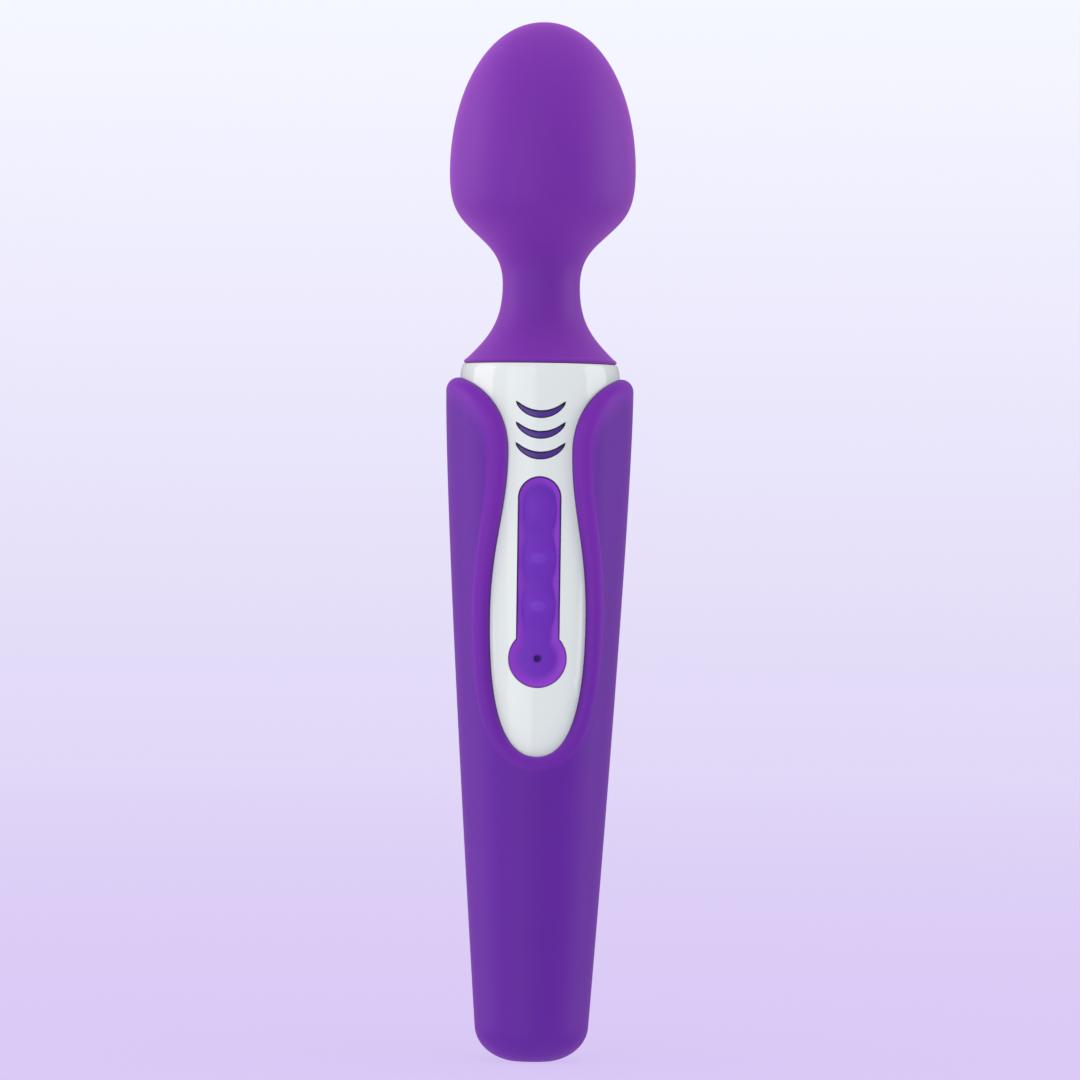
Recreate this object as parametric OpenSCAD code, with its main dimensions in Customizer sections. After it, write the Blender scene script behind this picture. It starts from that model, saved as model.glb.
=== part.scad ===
// Handheld wand massager: egg-shaped vibrating head on a flexible neck, and a tapered
// handle with a silicone sleeve round a two-part plastic shell. Millimetres, +Z up.
// The origin is the centre of the small flat on the tail. The keys face -Y.

/* [Head and neck] */
// Height of the whole wand
total_h = 235; // [233:0.5:238]
// Radius of the head at its widest
head_r = 21.05; // [20.8:0.05:21.6]
// Radius of the neck at its narrowest
neck_r = 8.75; // [8.6:0.05:9.4]
// Radius of the flared foot of the neck
flare_r = 17.3; // [17.1:0.05:17.4]
// Thickness of the silicone skin over the head
skin_t = 3.2; // [3:0.1:3.3]

/* [Handle] */
// Height of the seam between neck and handle
collar_z = 157.6; // [157.2:0.1:158]
// Radius of the handle just below the horns' tips
horn_r = 21.2; // [21:0.05:21.6]
// Radius of the handle just above the rounded tail
tail_r = 12.85; // [12.7:0.05:13.2]
// Radius of the flat in the middle of the tail
tail_flat_r = 5; // [4:0.1:6]
// Wall of the two plastic shell halves
shell_t = 2; // [1.8:0.05:2.05]

/* [Front opening of the sleeve] */
// Widest half width of the opening
opening_half = 10.95; // [10.6:0.05:11.2]
// Half width of the waist between the horns
waist_half = 7.25; // [7.1:0.05:7.6]
// Height of the opening's lowest point
opening_z = 69.2; // [66:0.2:72]

/* [Keys and charging port] */
// Width of the key strip
strip_w = 9.6; // [9.4:0.05:9.8]
// Diameter of one key
key_d = 8; // [7.6:0.05:8.1]
// Distance between neighbouring keys
key_pitch = 10.7; // [10.2:0.05:10.8]
// Height of the charging port's centre
port_z = 91.2; // [90.8:0.1:91.6]
// Diameter of the round end of the key pad, round the port
port_d = 13; // [12.6:0.1:13.4]
// Diameter of the jack's bore, for a 2 mm pin plug
jack_bore_d = 2.1; // [2.05:0.05:2.3]
// Depth of the jack's bore
jack_depth = 9.5; // [9:0.1:9.6]

/* [Motor and cell] */
// Diameter of the motor's can
motor_d = 20.4; // [20:0.1:20.5]
// Length of the motor's can
motor_len = 25; // [24.5:0.1:25.2]
// Diameter of the motor's shaft
shaft_d = 2; // [1.8:0.1:2]
// Diameter of the lithium cell
cell_d = 18.2; // [18:0.1:18.3]
// Length of the lithium cell
cell_len = 49; // [48:0.5:49.5]

/* [Hidden] */

$fn = 64;
gap = 0.1;            // clearance between neighbouring pieces
run_fit = 0.03;       // radial clearance of the shaft in its bushes
far = 60;             // reach of cutting blocks

silicone = "#6f34a5";
deep_silicone = "#6433ac";
white_abs = "#dee4e6";
steel = "#b9bcc0";
brass = "#c9a44c";
black_plastic = "#232326";

// Heights of the head's and the neck's turning points
head_z = total_h - 33.8;
flank = [14.7, head_z - 14.5];
neck_z = collar_z + 17.8;
capsule_floor_z = neck_z + 11.7;
motor_z = capsule_floor_z + 3.9;
weight_z = motor_z + motor_len + 2.2;

// Layers and levels inside the handle
skin_foot_z = collar_z - 4.7;
bead_top_z = collar_z - 2.5;
shell_top_z = collar_z - 0.15;
lid_t = 2.2;
spigot_r = 10.6;
bead_r = 12.8;
sleeve_top_z = collar_z - 3.25;
board_front_y = -8.6;
board_t = 1.2;
board_half = 7.6;
board_z = [80, 147.5];
switch_h = 3.3;
button_r = 1.7;
pin_hole_r = 1.35;     // the silicone's own hole in front of the jack
button_out = 1;       // how far a switch's button stands out of its body
key_z = [for (i = [1, 0, -1]) port_z + 22.5 + i * key_pitch];
crescent_z = [for (i = [0:2]) collar_z - 8.7 - 4.63 * i];
cell_z = 27;
screw_seat_y = 5;
handle_screws = [[0, 13], [-10.5, 86], [10.5, 86], [-11.5, 143], [11.5, 143]];
board_screw_at = [[-5.2, 82.4], [5.2, 82.4]];
capsule_screw_x = 13.6;

// ---------- curves ----------

function bez(p, t) = pow(1 - t, 3) * p[0] + 3 * t * pow(1 - t, 2) * p[1]
    + 3 * t * t * (1 - t) * p[2] + pow(t, 3) * p[3];
// n steps along a cubic curve, without its last point
function curve(p, n) = [for (i = [0:n - 1]) bez(p, i / n)];
function unit(v) = v / norm(v);
// Moves each point of an open outline by d to its left
function shifted(pts, d) = [for (i = [0:len(pts) - 1])
    let (a = pts[max(i - 1, 0)], b = pts[min(i + 1, len(pts) - 1)], t = unit(b - a))
    pts[i] + d * [-t[1], t[0]]];
function mirrored(pts) = [for (i = [len(pts) - 1:-1:0]) [-pts[i][0], pts[i][1]]];
function reversed(pts) = [for (i = [len(pts) - 1:-1:0]) pts[i]];

// Head from the flank up to its pole, as [radius, height]
head_curve = concat(
    curve([flank, flank + [4, 3.8], [head_r, head_z - 8.8], [head_r, head_z]], 7),
    curve([[head_r, head_z], [head_r, head_z + 18.1], [12.7, total_h], [0, total_h]], 14),
    [[0, total_h]]);
// Neck from the seam up to the flank
neck_curve = concat(
    curve([[flare_r, collar_z + 0.5], [11.8, collar_z + 5.8], [neck_r, neck_z - 8.5],
        [neck_r, neck_z]], 8),
    curve([[neck_r, neck_z], [neck_r, neck_z + 6.2], flank - [2.9, 2.7], flank], 7));
// Handle's silicone from the edge of the tail's flat up to the sleeve's rim
sleeve_curve = concat(
    curve([[tail_flat_r, 0], [9.6, 0.9], [tail_r - 0.3, 4], [tail_r, 7.5]], 6),
    curve([[tail_r, 7.5], [16.3, 55], [20.9, 125], [horn_r, 150]], 9),
    curve([[horn_r, 150], [horn_r, sleeve_top_z - 2.2],
        [horn_r - 0.8, sleeve_top_z], [horn_r - 2.4, sleeve_top_z]], 4),
    [[horn_r - 2.4, sleeve_top_z]]);
// Outside of the plastic shell, from its floor to the collar's rim
shell_curve = concat(
    [[6.6, 2.8], [9.2, 4.1], [10.1, 6]],
    curve([[10.4, 8], [13.7, 55], [17.8, 125], [18.15, 150]], 16),
    curve([[18.15, 150], [18.15, 155], [18, shell_top_z - 0.9],
        [flare_r + 0.05, shell_top_z]], 8),
    [[flare_r + 0.05, shell_top_z]]);

// Radius of the shell's outside at height z, by interpolation on its curve
function shell_r(z) = lookup(z, [for (p = shell_curve) [p[1], p[0]]]);

// Right half of the sleeve's front opening, from its lowest point to the horn's tip
opening_curve = concat(
    curve([[0, opening_z], [7.6, opening_z], [opening_half, opening_z + 10.8],
        [opening_half, 100]], 10),
    curve([[opening_half, 100], [opening_half, 117], [waist_half, 124],
        [waist_half, 137.5]], 7),
    curve([[waist_half, 137.5], [waist_half, 146.3], [12.3, 152],
        [19.1, sleeve_top_z]], 8),
    [[19.1, sleeve_top_z]]);

// ---------- helpers ----------

module revolve(pts) { rotate_extrude($fn = 128) polygon(pts); }
// Solid between the axis and an outline whose ends lie at two heights
module filled(pts) {
    revolve(concat([[0, pts[0][1]]], pts, [[0, pts[len(pts) - 1][1]]]));
}
// Cylinder along +Y from height y0 to y1
module rod_y(x, z, r, y0, y1) {
    translate([x, y1, z]) rotate([90, 0, 0]) cylinder(r = r, h = y1 - y0);
}
module ring(r_out, r_in, z0, z1) {
    translate([0, 0, z0]) difference() {
        cylinder(r = r_out, h = z1 - z0);
        translate([0, 0, -1]) cylinder(r = r_in, h = z1 - z0 + 2);
    }
}
module block(x0, x1, y0, y1, z0, z1) {
    translate([x0, y0, z0]) cube([x1 - x0, y1 - y0, z1 - z0]);
}
// Everything in front of (side -1) or behind (side 1) the parting plane
module half_space(side) {
    if (side < 0) block(-far, far, -far, 0, -1, total_h + 5);
    else block(-far, far, 0, far, -1, total_h + 5);
}
// Extrudes an outline drawn in [x, z] along Y, through the front of the handle
module through_front() { rotate([90, 0, 0]) linear_extrude(far) children(); }
// Round tube swept along points, with flat ends
module swept(pts, r, sides) {
    n = len(pts);
    dirs = [for (i = [0:n - 1]) unit(pts[min(i + 1, n - 1)] - pts[max(i - 1, 0)])];
    rings = [for (i = [0:n - 1])
        let (d = dirs[i], u = unit(cross(abs(d[2]) > 0.7 ? [0, 1, 0] : [0, 0, 1], d)),
            v = cross(d, u))
        for (k = [0:sides - 1])
            pts[i] + r * (cos(360 * k / sides) * u + sin(360 * k / sides) * v)];
    sides_of = [for (i = [0:n - 2]) for (k = [0:sides - 1])
        let (a = i * sides + k, b = i * sides + (k + 1) % sides)
        [a, a + sides, b + sides, b]];
    ends = [[for (k = [0:sides - 1]) k], [for (k = [sides - 1:-1:0]) (n - 1) * sides + k]];
    polyhedron(rings, concat(sides_of, ends), convexity = 8);
}
// Smooth path through a list of points, by Catmull-Rom, n steps a stretch
function smooth_path(p, n) = concat(
    [for (i = [0:len(p) - 2]) for (k = [0:n - 1])
        let (a = p[max(i - 1, 0)], b = p[i], c = p[i + 1], d = p[min(i + 2, len(p) - 1)],
            t = k / n)
        0.5 * (2 * b + (c - a) * t + (2 * a - 5 * b + 4 * c - d) * t * t
            + (3 * b - a - 3 * c + d) * t * t * t)],
    [p[len(p) - 1]]);

// Pan-headed screw along Y, its head's seat at y and its tip towards -Y
module screw(x, z, seat_y, shank_r, len, head_r, head_h) {
    rod_y(x, z, shank_r, seat_y - len, seat_y + 0.01);
    difference() {
        rod_y(x, z, head_r, seat_y, seat_y + head_h);
        for (a = [0, 90]) translate([x, seat_y + head_h, z]) rotate([0, a, 0])
            cube([head_r * 1.2, head_h, 0.35], center = true);
    }
}

// ---------- handle ----------

module keyhole(grow) {
    translate([0, port_z]) circle(r = port_d / 2 + grow);
    translate([-strip_w / 2 - grow, port_z])
        square([strip_w + 2 * grow, 127.2 - port_z]);
    translate([0, 127.2]) circle(r = strip_w / 2 + grow);
}
// Crescent with its tips at height z: an arc whose thickness swells to the middle
module crescent(z, grow, half_angle = 56) {
    arc_r = 6.8;
    rise = 3.85;
    n = 9;
    function half_t(s) = grow + 0.42 * sqrt(1 - pow(s, 6)) + 0.48 * pow(cos(90 * s), 1.2);
    function arc_at(s, side) = [0, z + rise]
        + (arc_r + side * half_t(abs(s))) * [sin(half_angle * s), -cos(half_angle * s)];
    polygon(concat([for (i = [-n:n]) arc_at(i / n, 1)],
        [for (i = [n - 1:-1:1 - n]) arc_at(i / n, -1)]));
}
module grip_sleeve() {
    color(silicone) difference() {
        filled(sleeve_curve);
        filled(concat(shifted(shell_curve, -0.05), [[18.2, collar_z + 5]]));
        through_front() polygon(concat(opening_curve, [[19.1, 170]],
            [[-19.1, 170]], mirrored(opening_curve)));
    }
}

module cavity() {
    filled([for (p = shell_curve) if (p[1] > 7 && p[1] < 153) p - [shell_t, 0]]);
    filled([[7.2, 5], [8.2, 8.1]]);
    translate([0, 0, 150]) cylinder(r = shell_r(150) - shell_t,
        h = shell_top_z - lid_t - 150);
}
module shell_half(side) {
    intersection() {
        difference() {
            union() {
                difference() {
                    filled(shell_curve);
                    cavity();
                }
                intersection() {
                    filled(shell_curve);
                    union() {
                        for (s = handle_screws) rod_y(s[0], s[1], 2.4, -far / 2, far / 2);
                        ring(18, 6, 23.4, 25.2);
                        ring(18, 7.6, 78.2, 79.3);
                        ring(18, 12.6, collar_z - 7.7, collar_z - 6.7);
                    }
                }
            }
            translate([0, 0, collar_z - 5]) cylinder(r = spigot_r + 0.3, h = 10);
            for (s = handle_screws) {
                rod_y(s[0], s[1], 0.92, screw_seat_y - 10.3, screw_seat_y + 1);
                rod_y(s[0], s[1], 2, screw_seat_y, far);
            }
        }
        half_space(side);
    }
}
module front_shell() {
    color(white_abs) difference() {
        union() {
            shell_half(-1);
            for (s = board_screw_at) intersection() {
                filled(shell_curve);
                rod_y(s[0], s[1], 1.7, -far / 2, board_front_y - 0.02);
            }
        }
        through_front() keyhole(gap);
        for (z = crescent_z) through_front() crescent(z, 0);
        for (s = board_screw_at) rod_y(s[0], s[1], 0.62, board_front_y - 3, 0);
    }
}
module rear_shell() { color(white_abs) shell_half(1); }
module shell_screws() {
    color(steel) for (s = handle_screws)
        screw(s[0], s[1], screw_seat_y, 0.9, 10, 1.75, 1.2);
}

// Part of a shell-shaped layer between two depths under the shell's outside
module layer(depth0, depth1) {
    intersection() {
        difference() {
            filled([for (p = shell_curve) if (p[1] > 60 && p[1] < 153) p - [depth0, 0]]);
            filled([for (p = shell_curve) if (p[1] > 60 && p[1] < 153) p - [depth1, 0]]);
        }
        half_space(-1);
    }
}
module light_guide() {
    color("#5a3a92") {
        intersection() {
            layer(shell_t + 0.05, shell_t + 1.05);
            block(-7.2, 7.2, -far, -5, 134.9, 149.6);
        }
        intersection() {
            layer(0.8, shell_t + 0.1);
            through_front() for (z = crescent_z) crescent(z, -0.2, 50);
        }
    }
}
module status_leds() {
    color("#f4f1e0") for (z = crescent_z)
        block(-0.8, 0.8, board_front_y - 0.8, board_front_y, z - 3.4, z - 1.8);
}
module keypad_mat() {
    color(deep_silicone) difference() {
        union() {
            intersection() {
                layer(0, shell_t + 0.1);
                through_front() keyhole(0);
            }
            intersection() {
                layer(shell_t + 0.05, shell_t + 1);
                through_front() keyhole(1.1);
            }
        }
        intersection() {
            layer(-1, 0.7);
            through_front() keyhole(-1);
        }
        for (z = key_z) rod_y(0, z, key_d / 2 + 0.3, -far / 2, -5);
        rod_y(0, port_z, 2.6, -far / 2, -shell_r(port_z) + 1.5);
        rod_y(0, port_z, pin_hole_r, -far / 2, -5);
    }
}
module key(z) {
    top_y = -shell_r(z) - 0.1;
    color(deep_silicone) translate([0, top_y, z]) rotate([-90, 0, 0])
        revolve([[0, 0], [1.6, 0.06], [2.7, 0.22], [3.5, 0.52], [key_d / 2, 1],
            [key_d / 2, 1.9], [1.5, 1.9], [1.5, board_front_y - switch_h - button_out - top_y],
            [0, board_front_y - switch_h - button_out - top_y]]);
}
module key_power() { key(key_z[0]); }
module key_plus() { key(key_z[1]); }
module key_minus() { key(key_z[2]); }

module control_board() {
    color("#2f6b46") difference() {
        block(-board_half, board_half, board_front_y, board_front_y + board_t,
            board_z[0], board_z[1]);
        rod_y(0, port_z, 3.5, -far / 2, 0);
        for (s = board_screw_at) rod_y(s[0], s[1], 0.7, -far / 2, 0);
    }
}
module board_screws() {
    color(steel) for (s = board_screw_at)
        screw(s[0], s[1], board_front_y + board_t, 0.6, 3.9, 1.2, 0.8);
}
module board_chips() {
    back_y = board_front_y + board_t;
    color(black_plastic) {
        block(-3, 3, back_y, back_y + 1.1, 115, 121);
        block(-5.6, -2.6, back_y, back_y + 0.9, 108, 111);
        for (x = [2.4, 5]) block(x - 0.8, x + 0.8, back_y, back_y + 0.9, 108, 110.9);
        for (i = [0:3]) block(-6 + 3.6 * i, -4.6 + 3.6 * i, back_y, back_y + 0.6, 126, 126.8);
        rod_y(0, 132, 2.4, back_y, back_y + 2.2);
    }
}
module switch_bodies() {
    color(black_plastic) for (z = key_z) difference() {
        block(-3, 3, board_front_y - switch_h, board_front_y, z - 3, z + 3);
        rod_y(0, z, button_r + 0.08, -far / 2, board_front_y - switch_h + 1.3);
    }
}
module switch_button(z) {
    color("#d8d4c8") rod_y(0, z, button_r, board_front_y - switch_h - button_out,
        board_front_y - switch_h + 0.6);
}
module switch_button_power() { switch_button(key_z[0]); }
module switch_button_plus() { switch_button(key_z[1]); }
module switch_button_minus() { switch_button(key_z[2]); }

jack_mouth_y = -shell_r(port_z) + shell_t + 1.1;
module jack_housing() {
    color(black_plastic) difference() {
        union() {
            rod_y(0, port_z, 3.3, jack_mouth_y + 0.2, jack_mouth_y + jack_depth + 0.6);
            rod_y(0, port_z, 4.4, board_front_y - 1, board_front_y);
        }
        rod_y(0, port_z, 1.77, -far / 2, jack_mouth_y + jack_depth);
    }
}
module jack_contact_tube() {
    color(brass) difference() {
        rod_y(0, port_z, 1.75, jack_mouth_y, jack_mouth_y + jack_depth);
        rod_y(0, port_z, jack_bore_d / 2, jack_mouth_y - 1, jack_mouth_y + jack_depth + 1);
    }
}

module battery_cell() {
    color(steel) revolve([[0, cell_z], [cell_d / 2 - 0.4, cell_z],
        [cell_d / 2, cell_z + 0.4], [cell_d / 2, cell_z + cell_len - 2],
        [cell_d / 2 - 0.6, cell_z + cell_len - 1.6], [cell_d / 2 - 0.6, cell_z + cell_len - 1],
        [cell_d / 2 - 0.4, cell_z + cell_len - 0.4], [7, cell_z + cell_len - 0.4],
        [7, cell_z + cell_len - 1], [0, cell_z + cell_len - 1]]);
}
module battery_wrap() {
    color("#3f6fae") ring(cell_d / 2 + 0.17, cell_d / 2 + 0.02, cell_z, cell_z + cell_len - 0.4);
}
module battery_top_cap() {
    color(steel) difference() {
        revolve([[0, cell_z + cell_len - 1], [4.6, cell_z + cell_len - 1],
            [4.6, cell_z + cell_len - 0.6], [3.2, cell_z + cell_len - 0.6],
            [3, cell_z + cell_len + 0.6], [0, cell_z + cell_len + 0.6]]);
        for (a = [0, 120, 240]) rotate([0, 0, a])
            translate([3.2, 0, cell_z + cell_len]) cube([1, 1.2, 0.8], center = true);
    }
}
module battery_tabs() {
    top = cell_z + cell_len + 0.6;
    color("#c6c9cb") {
        block(-2, 2, -2, 2, top, top + 0.15);
        block(-2, 2, 4.5, 6.5, cell_z + cell_len - 0.4, cell_z + cell_len - 0.25);
    }
}
module battery_pads() {
    color("#3a3a3c") {
        ring(8.2, 3.5, 25.25, 26.9);
        ring(8.6, 7.1, cell_z + cell_len - 0.35, 78.1);
    }
}
lead_r = 0.5;
module battery_lead(side, from_y, from_z) {
    swept(smooth_path([[side * 1.2, from_y, from_z], [side * 2.6, 1.5, 80], [side * 3, 3, 84],
        [side * 2.8, 2.6, 91], [side * 1.8, -1.6, 97], [side, -4.9, 99.2],
        [side, -5.9, 100.5]], 4), lead_r, 8);
}
module battery_lead_red() {
    color("#b3202a") battery_lead(1, 0, cell_z + cell_len + 1.35);
}
module battery_lead_black() {
    color("#1c1c1e") battery_lead(-1, 5.5, cell_z + cell_len + 0.35);
}
module connector(z0, z1) {
    back_y = board_front_y + board_t;
    color("#e8e4da") difference() {
        block(-3.2, 3.2, back_y, back_y + 3, z0, z1);
        block(-2.4, 2.4, back_y + 0.6, back_y + 2.4, z0 + (z0 < 120 ? -1 : 1),
            z1 + (z0 < 120 ? -1 : 1));
    }
}
module battery_connector() { connector(100, 104.5); }
module motor_connector() { connector(140.5, 145); }

// ---------- neck ----------

module neck_socket() {
    color(black_plastic) difference() {
        union() {
            translate([0, 0, collar_z - 6.6]) cylinder(r = 14, h = 1.8);
            translate([0, 0, collar_z - 6.6]) cylinder(r = 5.6, h = 9);
        }
        translate([0, 0, collar_z - 4.8]) cylinder(r = 4.7, h = 10);
        translate([0, 0, collar_z - 7]) cylinder(r = 3, h = 10);
    }
}
spring_z = [collar_z - 4.7, capsule_floor_z + 0.7];
module neck_spring() {
    turns = 13;
    steps = 20;
    wire_r = 0.5;
    mean_r = 4.05;
    rise = (spring_z[1] - spring_z[0] - 2 * wire_r) / turns;
    color(steel) swept([for (i = [0:turns * steps])
        [mean_r * cos(360 * i / steps), mean_r * sin(360 * i / steps),
            spring_z[0] + wire_r + rise * i / steps]], wire_r, 6);
}
module motor_lead(side) {
    swept(smooth_path([[side * 5.4, 0, motor_z - 1.2], [side * 3.4, 0, motor_z - 1.15],
        [side * 1.6, 0, motor_z - 1.7], [side * 0.95, 0, motor_z - 3.4],
        [side * 0.9, 0, motor_z - 8], [side * 0.9, 0, collar_z], [side, -0.4, 151.5],
        [side * 1.2, -2.4, 148.6], [side * 1.1, -5.4, 146.6], [side, -5.9, 144.4]], 5),
        lead_r, 8);
}
module motor_lead_red() { color("#b3202a") motor_lead(1); }
module motor_lead_black() { color("#1c1c1e") motor_lead(-1); }

// ---------- head ----------

// The skin's outline shifted inwards by d, from just above the neck to the pole
function inner_head(d, z_min) = [for (p = shifted(concat(neck_curve, head_curve), d))
    if (p[1] > z_min && p[0] >= 0) p];

module head_skin() {
    skin_in = inner_head(skin_t, neck_z + 8.8);
    color(silicone) revolve(concat(
        [[6.1, skin_foot_z], [bead_r, skin_foot_z], [bead_r, bead_top_z - 0.05],
            [spigot_r, bead_top_z - 0.05], [spigot_r, collar_z], [flare_r - 0.4, collar_z]],
        neck_curve, head_curve, [[0, total_h - skin_t]],
        reversed([for (p = skin_in) if (p[0] > 0.3) p]), [[6, neck_z + 6.5]]));
}
module capsule_half(side) {
    outside = inner_head(skin_t + 0.1, neck_z + 9.2);
    inside = inner_head(skin_t + 2.1, capsule_floor_z + 1.9);
    intersection() {
        difference() {
            union() {
                difference() {
                    filled(outside);
                    filled(concat([[9.1, capsule_floor_z], [9.1, capsule_floor_z + 1.7]],
                        inside));
                }
                intersection() {
                    filled(outside);
                    union() {
                        for (z = [head_z - 4.2, head_z + 6.5])
                            ring(19, 11.65, z, z + 1.4);
                        for (x = [-1, 1] * capsule_screw_x)
                            rod_y(x, head_z, 1.9, -far / 2, far / 2);
                    }
                }
            }
            translate([0, 0, capsule_floor_z - 10]) cylinder(r = 5.7, h = 11);
            for (x = [-1, 1] * capsule_screw_x) {
                rod_y(x, head_z, 0.72, -4.8, 5);
                rod_y(x, head_z, 1.5, 4, far);
            }
        }
        half_space(side);
    }
}
module capsule_front() { color(white_abs) capsule_half(-1); }
module capsule_rear() { color(white_abs) capsule_half(1); }
module capsule_screws() {
    color(steel) for (x = [-1, 1] * capsule_screw_x)
        screw(x, head_z, 4, 0.7, 8.5, 1.35, 0.9);
}
module neck_plug() {
    color(black_plastic) difference() {
        union() {
            translate([0, 0, capsule_floor_z + 0.05]) cylinder(r = 9, h = 1.5);
            translate([0, 0, capsule_floor_z - 4.5]) cylinder(r = 5.6, h = 5);
        }
        translate([0, 0, capsule_floor_z - 5]) cylinder(r = 4.7, h = 5.8);
        translate([0, 0, capsule_floor_z]) cylinder(r = 2.5, h = 3);
    }
}

// ---------- motor ----------

can_r = motor_d / 2;
can_in = can_r - 0.8;
can_top = motor_z + motor_len;
module motor_can() {
    color(steel) difference() {
        union() {
            translate([0, 0, motor_z]) cylinder(r = can_r, h = motor_len);
            translate([0, 0, can_top]) cylinder(r = 3.2, h = 1.2);
        }
        translate([0, 0, motor_z - 1]) cylinder(r = can_in, h = motor_len + 0.1);
        translate([0, 0, motor_z]) cylinder(r = 2.22, h = motor_len + 3);
        for (a = [45, 225]) rotate([0, 0, a])
            translate([6.4, 0, can_top - 2]) cylinder(r = 1.1, h = 4);
    }
}
module motor_damper() {
    color("#2b2b2e") difference() {
        ring(can_r + 1.3, can_r + 0.05, motor_z + 3, motor_z + 21);
        for (a = [0:30:330]) rotate([0, 0, a])
            translate([can_r + 1.35, 0, motor_z]) cylinder(r = 0.35, h = motor_len);
    }
}
module motor_magnets() {
    color("#3b3d42") difference() {
        ring(can_in - 0.05, 7.5, motor_z + 5, motor_z + 21);
        for (a = [0, 180]) rotate([0, 0, a]) translate([0, 0, motor_z + 4])
            linear_extrude(19) polygon([[0, 0], [20, -9.3], [20, 9.3]]);
    }
}
module motor_end_cap() {
    color(black_plastic) difference() {
        translate([0, 0, motor_z]) cylinder(r = can_in - 0.03, h = 2.5);
        translate([0, 0, motor_z - 1]) cylinder(r = 2.22, h = 5);
        for (x = [-6, 6]) block(x - 0.35, x + 0.35, -1.1, 1.1, motor_z - 1, motor_z + 3);
    }
}
module motor_terminals() {
    color(brass) for (x = [-6, 6])
        block(x - 0.25, x + 0.25, -1, 1, motor_z - 1.8, motor_z + 3.6);
}
module motor_brushes() {
    color("#a8682f") for (side = [-1, 1]) {
        block(min(side * 5.7, side * 2.95), max(side * 5.7, side * 2.95), -0.8, 0.8,
            motor_z + 3.05, motor_z + 3.35);
        block(min(side * 3.2, side * 2.45), max(side * 3.2, side * 2.45), -0.8, 0.8,
            motor_z + 3.35, motor_z + 5);
    }
}
module bush(z0, z1) {
    ring(2.2, shaft_d / 2 + run_fit, z0, z1);
}
module motor_bush_upper() { color("#b08d57") bush(can_top - 2, can_top + 1.2); }
module motor_bush_lower() { color("#b08d57") bush(motor_z + 0.2, motor_z + 2.7); }
module motor_shaft() {
    color(steel) translate([0, 0, motor_z + 0.1])
        cylinder(r = shaft_d / 2, h = weight_z + 6.6 - motor_z);
}
core_z = [motor_z + 6.4, motor_z + 19.4];
arm_half = 1.5;
module rotor_core() {
    color("#6f7378") difference() {
        intersection() {
            translate([0, 0, core_z[0]]) cylinder(r = 7, h = core_z[1] - core_z[0]);
            union() {
                translate([0, 0, core_z[0]]) cylinder(r = 2.8, h = core_z[1] - core_z[0]);
                for (a = [90, 210, 330]) rotate([0, 0, a]) {
                    block(0, 7, -arm_half, arm_half, core_z[0], core_z[1]);
                    translate([0, 0, core_z[0]]) linear_extrude(core_z[1] - core_z[0])
                        polygon([[5.4, -4.6], [8, -9.4], [8, 9.4], [5.4, 4.6]]);
                }
            }
        }
        translate([0, 0, motor_z]) cylinder(r = shaft_d / 2 + 0.01, h = motor_len);
    }
}
module rotor_windings() {
    color("#b5652a") for (a = [90, 210, 330]) rotate([0, 0, a]) difference() {
        block(3.1, 5.3, -arm_half - 0.9, arm_half + 0.9, core_z[0] - 1, core_z[1] + 1);
        block(3, 5.4, -arm_half - 0.02, arm_half + 0.02, core_z[0] - 0.02, core_z[1] + 0.02);
    }
}
module commutator() {
    color("#c4733a") difference() {
        ring(2.4, shaft_d / 2 + 0.01, motor_z + 3, motor_z + 5.2);
        for (a = [30, 150, 270]) rotate([0, 0, a])
            block(1.7, 3, -0.15, 0.15, motor_z + 2, motor_z + 6);
    }
}
module eccentric_weight() {
    color(brass) difference() {
        union() {
            intersection() {
                translate([0, 0, weight_z]) cylinder(r = 7.6, h = 6);
                block(-far, far, -far, 0, weight_z - 1, weight_z + 7);
            }
            translate([0, 0, weight_z]) cylinder(r = 2.6, h = 6);
        }
        translate([0, 0, weight_z - 1]) cylinder(r = shaft_d / 2 + 0.01, h = 8);
    }
}

grip_sleeve();
front_shell();
rear_shell();
shell_screws();
light_guide();
status_leds();
keypad_mat();
control_board();
board_screws();
board_chips();
switch_bodies();
jack_housing();
jack_contact_tube();
battery_cell();
battery_wrap();
battery_top_cap();
battery_tabs();
battery_pads();
battery_lead_red();
battery_lead_black();
battery_connector();
motor_connector();
neck_socket();
neck_spring();
motor_lead_red();
motor_lead_black();
head_skin();
capsule_front();
capsule_rear();
capsule_screws();
neck_plug();
motor_can();
motor_damper();
motor_magnets();
motor_end_cap();
motor_terminals();
motor_brushes();
motor_bush_upper();
motor_bush_lower();
motor_shaft();
rotor_core();
rotor_windings();
commutator();
eccentric_weight();
key_power();
key_plus();
key_minus();
switch_button_power();
switch_button_plus();
switch_button_minus();
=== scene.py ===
"""Looks of a handheld wand massager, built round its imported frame.

Every new shape is a surface worked out in millimetres in the frame's own axes: +Z runs along the
wand to the head, and -Y looks out of the white panel with the keys.
"""

import math

import bpy
import numpy as np
from bpy.props import FloatProperty, FloatVectorProperty, PointerProperty
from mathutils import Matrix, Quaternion, Vector


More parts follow.
